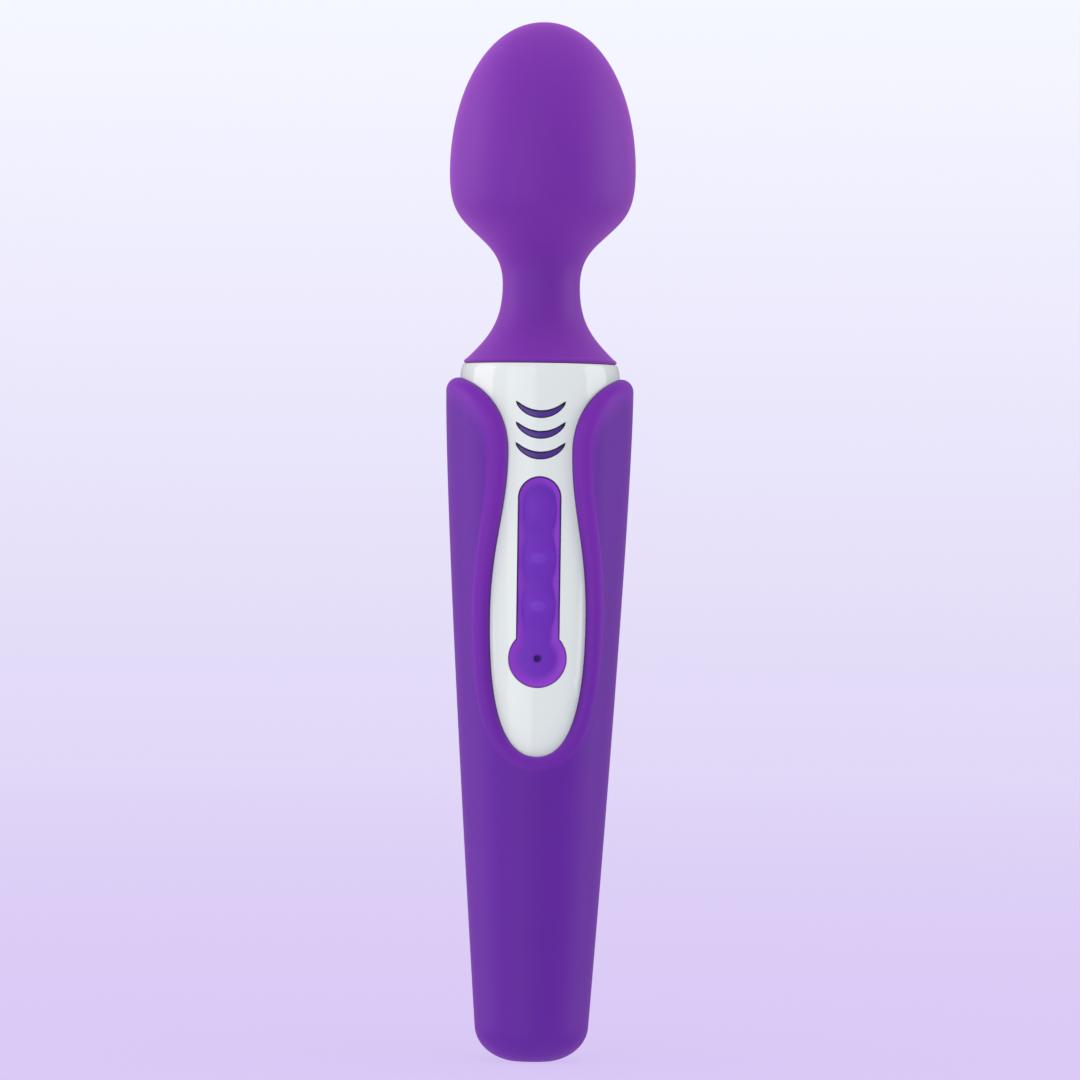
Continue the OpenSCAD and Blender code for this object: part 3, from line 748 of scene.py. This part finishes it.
PAD_HALF = 4.8
PAD_CAP_Z = 127.2  # centre of the pad's round top end
PORT_R = 6.5
PIN_R = 0.75
KEY_R = 4.1
KEY_REACH = 6.4  # how far a key's hump runs along the pad
PIP_HALF = (2.4, 1.7)  # across and along the pad
PIP_H = 0.2
EDGE_R = 0.3  # rounding of the pad's rim


def eased(value):
    """Smooth step from 0 to 1."""
    t = np.clip(value, 0, 1)
    return t * t * (3 - 2 * t)


def eased_bump(away, reach):
    """1 at no distance, falling smoothly to 0 at the reach."""
    return eased(1 - np.abs(away) / reach)


def pad_depth(x, z, wells=False):
    """Depth of the keypad's surface under the panel's, and its marks. The trough's wall falls
    from the outline as the 1.8th power of what is left of its width, round the port too. Each
    key is a hump along the pad, highest at its own middle and low between two keys, times one
    minus the 2.6th power of the distance from the axis. The two lower keys have an oval pip for
    the thumb. Wall and humps run into each other over a smooth maximum. The port has a dimple
    and a hole, and wells are the recesses that hold the keys."""
    # The marks paint light on the pad: sheen on the sloping walls, a highlight on the pips, and
    # shade in the gap round the pad and in the port's hole.
    s = shape_mm()
    deep = s["trough_depth"]
    to_dish = np.hypot(x, z - PORT_Z)
    from_spine = np.hypot(x, z - np.clip(z, PORT_Z, PAD_CAP_Z))
    strip, dish = PAD_HALF - from_spine, PORT_R - to_dish
    inset = np.maximum(strip, dish)
    slope = np.clip(np.maximum(strip / s["trough_wall"], dish / s["dish_wall"]), 0, 1)
    height = deep * (1 - slope) ** 1.8
    # Painted sheen on the sloping walls.
    wall = (1 - slope) ** 0.75
    height -= 0.2 * eased_bump(to_dish, 3.6) + 0.5 * eased_bump(to_dish, 1.7)
    hump = sum(eased_bump(z - key_z, KEY_REACH) for key_z in KEY_Z)
    keys = deep * np.clip(hump, 0, 1) * (1 - (np.abs(x) / s["key_dome"]) ** 2.6)
    # The pips are raised, and their mark is a painted highlight.
    pip = sum(eased((1 - np.hypot(x / PIP_HALF[0], (z - key_z) / PIP_HALF[1])) / 0.6)
              for key_z in KEY_Z[1:])
    keys += PIP_H * pip
    blend = 0.25
    overlap = np.clip(0.5 + 0.5 * (keys - height) / blend, 0, 1)
    height = height * (1 - overlap) + keys * overlap + blend * overlap * (1 - overlap)
    rounding = 1 - np.sqrt(1 - (1 - np.clip(inset / EDGE_R, 0, 1)) ** 2)
    depth = deep - height + 0.22 * rounding
    # Painted shade in the gap round the pad, weaker towards the port.
    hollow = eased(1.15 - inset / 0.4) * (0.35 + 0.65 * eased((z - PORT_Z) / 9))
    if wells:
        for key_z in KEY_Z:
            depth += 1.0 * eased((KEY_R - 0.2 - np.hypot(x, z - key_z)) / 0.2)
        depth += 0.7 * eased((PIN_R + 0.1 - to_dish) / 0.3)
        # Painted shade in the port's hole.
        hollow = np.maximum(hollow, eased((1.35 - to_dish) / 1.1))
    return depth, {"wall": wall * (1 - overlap), "hollow": hollow, "pip": pip}


def under_panel(x, z, depth):
    """Points at a depth under the panel, which is a surface of revolution about Z."""
    radius = radius_at(SHELL, z) - depth
    return np.stack([x + 0 * z, -np.sqrt(radius**2 - x**2), z + 0 * x], -1)


class WAND_OT_keypad(bpy.types.Operator):
    """Silicone keypad: the trough with its charging dish, the three domed keys, and a dark violet
    disc in the pad's hole, painted shade of the hole's depth"""

    bl_idname = "wand.keypad"
    bl_label = "Keypad"

    def execute(self, context):
        material = keypad_silicone()
        self.mat(material)
        for name, key_z in zip(KEYS, KEY_Z):
            self.key(name, key_z, material)
        self.bore()
        return {"FINISHED"}

    def mat(self, material):
        """Trough and dish: rows up the pad, closer near both ends, each across it by the sine
        of an even step and back behind it."""
        low, high = PORT_Z - PORT_R, PAD_CAP_Z + PAD_HALF
        t = np.linspace(0, 1, 480)[1:-1]
        ends = 0.5 - 0.5 * np.cos(np.pi * t)
        z = (low + (high - low) * (0.25 * ends + 0.75 * t))[:, None]
        dish = np.sqrt(np.clip(PORT_R**2 - (z - PORT_Z) ** 2, 0, None))
        cap = np.sqrt(np.clip(PAD_HALF**2 - np.clip(z - PAD_CAP_Z, 0, None) ** 2, 0, None))
        half = np.maximum(dish, np.where(z > PORT_Z, cap, 0))
        across = np.sin(np.linspace(-np.pi / 2, np.pi / 2, 90))[None, :]
        depth, marks = pad_depth(across * half, z, wells=True)
        front = under_panel(across * half, z, depth)
        behind = np.linspace(1, -1, 24)[None, :]
        back = under_panel(behind * half, z, 3.0)
        marks = {m: np.hstack([v, 0 * back[..., 0]]) for m, v in marks.items()}
        tips = [under_panel(np.zeros(1), np.full(1, h), 1.5)[0] for h in (low, high)]
        pad = closed_surface("keypad_soft", np.concatenate([front, back], 1), tips, sharp=50,
                             marks=marks)
        dress(pad, material, "keypad_mat", slot="deep_purple_silicone")
        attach(pad, "handle")

    def bore(self):
        """A dark violet disc at the bottom of the pad's hole, painted shade where the hole would
        run deep to the jack: a short cylinder whose front is a shallow cone."""
        turn = np.linspace(0, 2 * np.pi, 32, endpoint=False)
        mouth = float(under_panel(np.zeros(1), np.full(1, PORT_Z), 2.55)[0, 1])
        rings = [np.stack([r * np.sin(turn), y + 0 * turn, PORT_Z + r * np.cos(turn)], -1)
                 for r, y in ((PIN_R + 0.02, mouth), (PIN_R + 0.02, mouth + 0.45))]
        ends = ((0, mouth + 0.25, PORT_Z), (0, mouth + 0.45, PORT_Z))
        bore = closed_surface("port_hole_shade", np.array(rings), ends)
        dark = plain("hole_painted_shade", linear("#1a0068"), 0.9, Specular_IOR_Level=0.1)[0]
        bore.data.materials.append(dark)
        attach(bore, "handle")

    def key(self, name, key_z, material):
        """A domed key: rings out over the dome, down its skirt and in to the plunger."""
        turn = np.linspace(0, 2 * np.pi, 120, endpoint=False)[None, :]
        ring = (KEY_R * np.linspace(0, 1, 34)[1:])[:, None]
        x, z = ring * np.sin(turn), key_z + ring * np.cos(turn)
        depth, marks = pad_depth(x, z)
        dome = under_panel(x, z, depth - 0.015)
        top_y = float(dome[0, :, 1].min())
        foot_y = top_y + 2.9
        lower = [(KEY_R, foot_y), (KEY_R - 0.25, foot_y + 0.25), (1.5, foot_y + 0.25),
                 (1.5, BUTTON_Y)]
        rings = [np.stack([r * np.sin(turn[0]), y + 0 * turn[0], key_z + r * np.cos(turn[0])],
                          -1) for r, y in lower]
        poles = ((0, top_y, key_z), (0, BUTTON_Y, key_z))
        marks = {m: np.vstack([v, np.zeros((len(rings), turn.size))]) for m, v in marks.items()}
        key = closed_surface(f"key_{name}_soft", np.concatenate([dome, np.array(rings)]), poles,
                             marks=marks)
        dress(key, material, f"key_{name}", slot="deep_purple_silicone")
        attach(key, f"{name}_key")


# ---------- operators: spring and leads ----------

LEAD_R = 0.5
SPRING_TURNS = 13
SPRING_WIRE_R = 0.5
SPRING_MEAN_R = 4.05


def wire_paths(path):
    """The parts of a path below and above the neck's split, which share the point there."""
    cut = int(np.argmin(np.abs(path[:, 2] - SPLIT_Z)))
    first, second = path[: cut + 1], path[cut:]
    return (first, second) if first[0, 2] < second[-1, 2] else (second, first)


def bending_pair(name, path, radius, square_to, material, slot):
    """A wire through the neck as two pieces, below and above the ring where the neck's pieces
    meet.
    """
    for part, points, bodies, bend in zip(
        ("lower", "upper"), wire_paths(path), (("handle", "neck"), ("neck", "head")),
        (LOWER_BEND, UPPER_BEND),
    ):
        piece = tube(f"{name}_{part}", points, radius, square_to)
        dress(piece, material, name, slot=slot)
        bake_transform(piece)


class WAND_OT_spring_and_leads(bpy.types.Operator):
    """Coil spring of the neck, and the leads of motor and battery"""

    bl_idname = "wand.spring_and_leads"
    bl_label = "Spring and leads"

    def execute(self, context):
        self.spring()
        # Extruded silicone jackets: soft, a little greasy, in two plain colours.
        red = moulded("silicone_lead_red", "#a81c26", 0.5, 0.4)
        black = moulded("silicone_lead_black", "#1a1a1c", 0.5, 0.4)
        for side, colour, material in ((1, "red", red), (-1, "black", black)):
            self.motor_lead(side, colour, material)
            self.battery_lead(side, colour, material)
        return {"FINISHED"}

    def spring(self):
        """Helix between the socket and the plug: angle and height grow evenly along it."""
        low, high = box_mm("neck_spring")
        t = np.linspace(0, 1, SPRING_TURNS * 36 + 1)
        angle = 2 * np.pi * SPRING_TURNS * t
        z = low[2] + SPRING_WIRE_R + (high[2] - low[2] - 2 * SPRING_WIRE_R) * t
        path = np.column_stack([SPRING_MEAN_R * np.cos(angle), SPRING_MEAN_R * np.sin(angle), z])
        # Drawn spring wire: grey steel with fine lines and a soft gleam.
        steel = drawn_metal("spring_wire_steel", "#a3a6ab", 0.32)
        bending_pair("neck_spring", path, SPRING_WIRE_R, (0, 0, 1), steel, "spring_steel")

    def motor_lead(self, side, colour, material):
        """From a motor terminal, down through the spring, to the board's connector."""
        motor_z = box_mm("motor_can")[0][2]
        path = catmull_rom(
            [(side * 5.4, 0, motor_z - 1.2), (side * 3.4, 0, motor_z - 1.15),
             (side * 1.6, 0, motor_z - 1.7), (side * 0.95, 0, motor_z - 3.4),
             (side * 0.9, 0, motor_z - 8), (side * 0.9, 0, SPLIT_Z), (side * 0.9, 0, SEAM_Z),
             (side, -0.4, 151.5), (side * 1.2, -2.4, 148.6), (side * 1.1, -5.4, 146.6),
             (side, -5.9, 144.4)], 14)
        bending_pair(f"motor_lead_{colour}", path, LEAD_R, (0, 1, 0), material,
                     f"{colour}_lead")

    def battery_lead(self, side, colour, material):
        """From a tab on the cell up to the board's lower connector."""
        cell_top = box_mm("battery_tabs")[1][2]
        start = (1.2, 0, cell_top + 0.6) if side > 0 else (-1.2, 5.5, cell_top - 0.4)
        path = catmull_rom(
            [start, (side * 2.6, 1.5, 80), (side * 3, 3, 84), (side * 2.8, 2.6, 91),
             (side * 1.8, -1.6, 97), (side, -4.9, 99.2), (side, -5.9, 100.5)], 12)
        lead = tube(f"battery_lead_{colour}_wire", path, LEAD_R, (0, 1, 0))
        dress(lead, material, f"battery_lead_{colour}", slot=f"{colour}_lead")
        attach(lead, "handle")


# ---------- operators: finishes of the frame's own pieces ----------


def finish_nodes(material, *nodes):
    """Gives frame pieces a material, with their meshes as they are."""
    for name in nodes:
        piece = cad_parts[name]
        piece.data.materials.clear()
        piece.data.materials.append(material)


CRESCENT_R = 6.8  # radius of the arc that a crescent follows
CRESCENT_HALF_ANGLE = math.radians(56)
CRESCENT_RISE = 3.85  # from the tips' height up to the arc's centre
CRESCENT_PITCH = 4.63
CRESCENT_DROP = 8.75  # from the seam down to the first one's tips


class WAND_OT_crescents(bpy.types.Operator):
    """The three smoky crescents of the light guide"""

    bl_idname = "wand.crescents"
    bl_label = "Crescents"

    def execute(self, context):
        """Each crescent follows an arc whose thickness swells to the middle, as the sum of a
        blunt root and a power of a cosine. Its front is crowned across by a fourth power, and
        its back lies inside the panel."""
        s = np.sin(np.linspace(-np.pi / 2, np.pi / 2, 90))[1:-1, None]
        half = 0.42 * np.sqrt(1 - s**6) + 0.48 * np.cos(np.pi / 2 * s) ** 1.2 - 0.03
        half = np.clip(half, 0.01, None)
        bend = CRESCENT_HALF_ANGLE * s
        front = np.sin(np.linspace(-np.pi / 2, np.pi / 2, 18))[None, :]
        across = np.hstack([front, np.linspace(1, -1, 10)[None, :]])
        depth = np.hstack([0.3 + 0.35 * front**4, np.full((1, 10), 1.95)])
        inset = half * (1 - np.abs(across))
        # The rim mark is painted shade along the crescent's edges and at its tips.
        rim = np.maximum(eased(1 - inset / 0.26), eased((np.abs(s) - 0.7) / 0.2))
        reach = CRESCENT_R + across * half
        tip_x = CRESCENT_R * math.sin(CRESCENT_HALF_ANGLE)
        tip_z = -CRESCENT_R * math.cos(CRESCENT_HALF_ANGLE)
        for i in range(3):
            centre_z = SEAM_Z - CRESCENT_DROP - CRESCENT_PITCH * i + CRESCENT_RISE
            x, z = reach * np.sin(bend), centre_z - reach * np.cos(bend)
            ends = [under_panel(np.full(1, end * tip_x), np.full(1, centre_z + tip_z), 1.0)[0]
                    for end in (-1, 1)]
            lens = closed_surface(f"crescent_{i + 1}", under_panel(x, z, depth), ends,
                                  marks={"rim": rim})
            dress(lens, smoky_lens(), "light_guide", slot="smoky_violet_lens")
            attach(lens, "handle")
        return {"FINISHED"}


class WAND_OT_shell_finish(bpy.types.Operator):
    """Finishes of the white shell and its screws, and of the head's capsule"""

    bl_idname = "wand.shell_finish"
    bl_label = "Shell finish"

    def execute(self, context):
        finish_nodes(gloss_abs(), "front_shell", "rear_shell")
        # Uncoloured ABS: off-white and dull from an unpolished tool.
        finish_nodes(moulded("abs_natural", "#d9dcd8", 0.45), "capsule_front", "capsule_rear")
        # Black nylon: dark with a broad, weak shine.
        finish_nodes(moulded("nylon_black", "#202023", 0.48), "neck_socket", "neck_plug")
        # Zinc plate on steel: pale blue-grey and bright.
        finish_nodes(drawn_metal("screw_zinc", "#a9abae", 0.3, (1, 0.1, 1)), "shell_screws",
                     "board_screws", "capsule_screws")
        return {"FINISHED"}


class WAND_OT_electronics_finish(bpy.types.Operator):
    """Finishes of the board, its parts, the jack and the switches"""

    bl_idname = "wand.electronics_finish"
    bl_label = "Electronics finish"

    def execute(self, context):
        finish_nodes(solder_mask(), "control_board")
        # Transfer-moulded epoxy: near black, half matt.
        finish_nodes(moulded("epoxy_black", "#17171a", 0.38), "board_chips", "switch_bodies")
        # Glass-filled polyester: black, a fine even grain.
        finish_nodes(moulded("pbt_black", "#1d1d20", 0.42), "jack_housing")
        # Lamp body: cream phosphor under clear resin.
        finish_nodes(moulded("lamp_resin", "#efe9cf", 0.25), "status_leds")
        # Uncoloured nylon: warm white with a waxy shine.
        finish_nodes(moulded("nylon_natural", "#e6e2d6", 0.4), "battery_connector",
                     "motor_connector")
        # Acetal: pale grey and smooth, because it slides.
        finish_nodes(moulded("pom_grey", "#cfccc2", 0.4), *[f"switch_button_{k}" for k in KEYS])
        # Turned brass: yellow with fine rings round its axis.
        finish_nodes(drawn_metal("brass_turned", "#c8a04a", 0.24, (1, 0.1, 1)),
                     "jack_contact_tube")
        return {"FINISHED"}


class WAND_OT_battery_finish(bpy.types.Operator):
    """Finishes of the lithium cell and what holds it"""

    bl_idname = "wand.battery_finish"
    bl_label = "Battery finish"

    def execute(self, context):
        # Deep-drawn can: nickel-bright with lines along it.
        finish_nodes(drawn_metal("cell_can_steel", "#b5b8bd", 0.28), "battery_cell")
        # Rolled nickel: warm grey with lines along the strip.
        finish_nodes(drawn_metal("nickel_strip", "#c4c6c4", 0.3, (0.1, 1, 1)), "battery_tabs",
                     "battery_top_cap")
        finish_nodes(shrink_film(), "battery_wrap")
        finish_nodes(foam("foam_black", "#26262a"), "battery_pads")
        return {"FINISHED"}


class WAND_OT_motor_finish(bpy.types.Operator):
    """Finishes of the motor and the eccentric weight"""

    bl_idname = "wand.motor_finish"
    bl_label = "Motor finish"

    def execute(self, context):
        # Nickel plate on drawn steel: pale and bright, with lines along it.
        finish_nodes(drawn_metal("can_nickel_plate", "#b9bbbd", 0.26), "motor_can")
        # Ground steel: the brightest metal here.
        finish_nodes(drawn_metal("shaft_ground_steel", "#c2c4c6", 0.18), "motor_shaft")
        # Sintered ferrite: charcoal and dry.
        finish_nodes(moulded("ferrite_magnet", "#3a3c40", 0.6, 0.3), "motor_magnets")
        # Moulded polyester: black, half matt.
        finish_nodes(moulded("pbt_end_cap", "#1e1e22", 0.45), "motor_end_cap")
        # Sintered bronze: brown, open-grained and dull with oil.
        finish_nodes(drawn_metal("bronze_sintered", "#a98453", 0.42, (1, 1, 1)),
                     "motor_bush_upper", "motor_bush_lower")
        # Stamped brass: yellow, with lines along it.
        finish_nodes(drawn_metal("brass_weight", "#c4a052", 0.28, (1, 1, 0.1)),
                     "eccentric_weight", "motor_terminals")
        # Bare copper: salmon-coloured, rubbed bright.
        finish_nodes(drawn_metal("copper_bare", "#b8703f", 0.3), "commutator", "motor_brushes")
        # Enamelled copper wire 0.35 mm thick: dark orange bands.
        finish_nodes(banded("copper_windings", "#a6542a", 1.0, 0.32, 0.35, 0.06, "Z"),
                     "rotor_windings")
        # Silicon steel sheets 0.5 mm thick: grey with fine lines.
        finish_nodes(banded("lamination_stack", "#6f7276", 1.0, 0.4, 0.5, 0.02, "Z"),
                     "rotor_core")
        finish_nodes(foam("foam_damper", "#2b2b2f"), "motor_damper")
        return {"FINISHED"}


# ---------- operator: stage ----------


FLAT_R = 1900
COVE_R = 700
WALL_TOP_Z = 2400


def bowl(name):
    """Floor that curves up into a round backdrop: a flat disc, a quarter circle and a wall."""
    turn = np.linspace(0, np.pi / 2, 24)
    cove = np.column_stack([FLAT_R + COVE_R * np.sin(turn), COVE_R - COVE_R * np.cos(turn)])
    profile = np.vstack([[(0, 0)], [(r, 0) for r in (60, 200, 500, 1000, 1500)], cove,
                         [(FLAT_R + COVE_R, WALL_TOP_Z)]])
    angle = np.linspace(0, 2 * np.pi, 96, endpoint=False)[None, :]
    grid = around(angle, profile[1:, :1], profile[1:, 1:])
    rows, columns = grid.shape[:2]
    points = np.vstack([grid.reshape(-1, 3), [(0, 0, 0)]])
    j = np.arange(columns)
    fan = np.stack([np.full(columns, len(points) - 1), j, (j + 1) % columns], -1)
    mesh = bpy.data.meshes.new(name)
    faces = grid_faces(rows, columns)[:, ::-1].tolist() + fan.tolist()
    mesh.from_pydata((points * MM).tolist(), [], faces)
    mesh.shade_smooth()
    piece = bpy.data.objects.new(name, mesh)
    bpy.context.scene.collection.objects.link(piece)
    return piece


def backdrop_paper():
    """Seamless backdrop paper, lit from behind: it takes the floor's colour near the wand and
    pales to the backdrop's, by 1.26 a metre of height and 0.163 a metre of distance."""
    near, far = tuple(colours().floor), tuple(colours().backdrop)
    material, shader = plain("backdrop_paper", tuple(0.12 * c for c in near), 0.9)
    place = add_node(material, "ShaderNodeTexCoord")
    apart = add_node(material, "ShaderNodeSeparateXYZ", {"Vector": (place, "Object")})
    length = add_node(material, "ShaderNodeVectorMath", {0: (place, "Object")},
                      operation="LENGTH")
    reach = add_node(material, "ShaderNodeMath",
                     {0: (length, "Value"), 1: 0.163}, operation="MULTIPLY")
    rise = add_node(material, "ShaderNodeMath",
                    {0: (apart, "Z"), 1: 1.26, 2: (reach, "Value")}, operation="MULTIPLY_ADD")
    mixed = add_node(material, "ShaderNodeMix",
                     {"Factor": (rise, "Value"), "A": (*(0.95 * c for c in near), 1),
                      "B": (*far, 1)}, data_type="RGBA")
    material.node_tree.links.new(mixed.outputs["Result"], shader.inputs["Emission Color"])
    shader.inputs["Emission Strength"].default_value = 0.965
    return material


def softbox(name, place, aim, size, power, colour="#ffffff", mirrored=True):
    """Rectangular lamp that faces a point. Unless it is mirrored, gloss doesn't show it."""
    lamp = bpy.data.lights.new(name, "AREA")
    lamp.shape = "RECTANGLE"
    lamp.size, lamp.size_y = size
    lamp.energy = power
    lamp.color = linear(colour)
    holder = bpy.data.objects.new(name, lamp)
    holder.location = place
    holder.rotation_mode = "QUATERNION"
    holder.rotation_quaternion = (Vector(aim) - Vector(place)).to_track_quat("-Z", "Y")
    holder.visible_camera = False
    holder.visible_glossy = mirrored
    bpy.context.scene.collection.objects.link(holder)
    return holder


class WAND_OT_studio(bpy.types.Operator):
    """Pale floor and backdrop, soft lamps and the camera"""

    bl_idname = "wand.studio"
    bl_label = "Studio"

    def execute(self, context):
        backdrop = bowl("backdrop")
        backdrop.data.materials.append(backdrop_paper())
        backdrop.visible_diffuse = False
        backdrop.visible_glossy = False
        backdrop.visible_shadow = False
        self.lamps(backdrop)
        self.world()
        self.camera()
        context.scene.view_settings.view_transform = "Standard"
        return {"FINISHED"}

    def lamps(self, backdrop):
        """Five soft lamps round the wand, and one over it that lights the backdrop too."""
        wand_only = bpy.data.collections.new("wand_only")
        wand_only.objects.link(backdrop)
        wand_only.collection_objects[0].light_linking.link_state = "EXCLUDE"
        middle = (0, 0, 0.13)
        softbox("lamp_top", (0, -0.3, 1.2), middle, (1.0, 1.0), 7.0, "#fff0f8", False)
        for lamp in (
            softbox("lamp_front_left", (-0.487, -0.896, 0.15), middle, (0.78, 1.3), 3.4),
            softbox("lamp_front", (0, -1.9, 0.5), middle, (1.6, 1.2), 6, mirrored=False),
            softbox("lamp_left", (-1.1, 0.05, 0.3), middle, (0.8, 1.1), 5.8, "#fff2fb"),
            softbox("lamp_right", (1.1, 0.0, 0.3), middle, (0.8, 1.1), 5.2),
            softbox("lamp_floor", (0, -0.35, -0.45), middle, (1.2, 1.0), 3.6, "#f2e6ff", False),
        ):
            lamp.light_linking.receiver_collection = wand_only

    def world(self):
        """Even, faintly violet light from all round."""
        world = bpy.data.worlds.new("soft_sky")
        world.use_nodes = True
        sky = world.node_tree.nodes["Background"]
        sky.inputs["Color"].default_value = (*linear("#f2f2ff"), 1)
        sky.inputs["Strength"].default_value = 0.42
        bpy.context.scene.world = world

    def camera(self):
        """Long lens at table height, level with the middle of the wand, a degree to its left
        and a little rolled."""
        distance, turn, roll = 1.5, math.radians(1.0), math.radians(0.77)
        lens = bpy.data.cameras.new("camera")
        lens.sensor_width = 36
        lens.lens = 36 * distance / 0.2445
        holder = bpy.data.objects.new("camera", lens)
        ahead = Vector((math.sin(turn), math.cos(turn), 0))
        aim = Vector((0.00048, 0, TOTAL_H * MM / 2 + 0.0003))
        holder.location = aim - ahead * distance
        holder.rotation_mode = "QUATERNION"
        holder.rotation_quaternion = ahead.to_track_quat("-Z", "Y") @ Quaternion((0, 0, 1), roll)
        bpy.context.scene.collection.objects.link(holder)
        bpy.context.scene.camera = holder


# ---------- add-on ----------

STEPS = (
    WAND_OT_studio,
    WAND_OT_head_skin,
    WAND_OT_grip_sleeve,
    WAND_OT_keypad,
    WAND_OT_crescents,
    WAND_OT_spring_and_leads,
    WAND_OT_shell_finish,
    WAND_OT_electronics_finish,
    WAND_OT_battery_finish,
    WAND_OT_motor_finish,
)


class WAND_PT_build(bpy.types.Panel):
    """Sidebar list of the wand's pieces and settings"""

    bl_idname = "WAND_PT_build"
    bl_label = "Wand Massager"
    bl_space_type = "VIEW_3D"
    bl_region_type = "UI"
    bl_category = "Wand"

    def draw(self, context):
        for group in (context.scene.wand_colours, context.scene.wand_shape):
            for name in group.__annotations__:
                self.layout.prop(group, name)
        for step in STEPS:
            self.layout.operator(step.bl_idname)


CLASSES = (WandColours, WandShape, *STEPS, WAND_PT_build)


def register():
    """Registers the classes and puts the settings on the scene."""
    for cls in CLASSES:
        bpy.utils.register_class(cls)
    bpy.types.Scene.wand_colours = PointerProperty(type=WandColours)
    bpy.types.Scene.wand_shape = PointerProperty(type=WandShape)


def unregister():
    """Takes the settings and the classes away again."""
    del bpy.types.Scene.wand_shape
    del bpy.types.Scene.wand_colours
    for cls in reversed(CLASSES):
        bpy.utils.unregister_class(cls)


def main():
    """Builds every piece in order."""
    register()
    for step in STEPS:
        group, name = step.bl_idname.split(".")
        getattr(getattr(bpy.ops, group), name)()


if __name__ == "__main__":
    main()
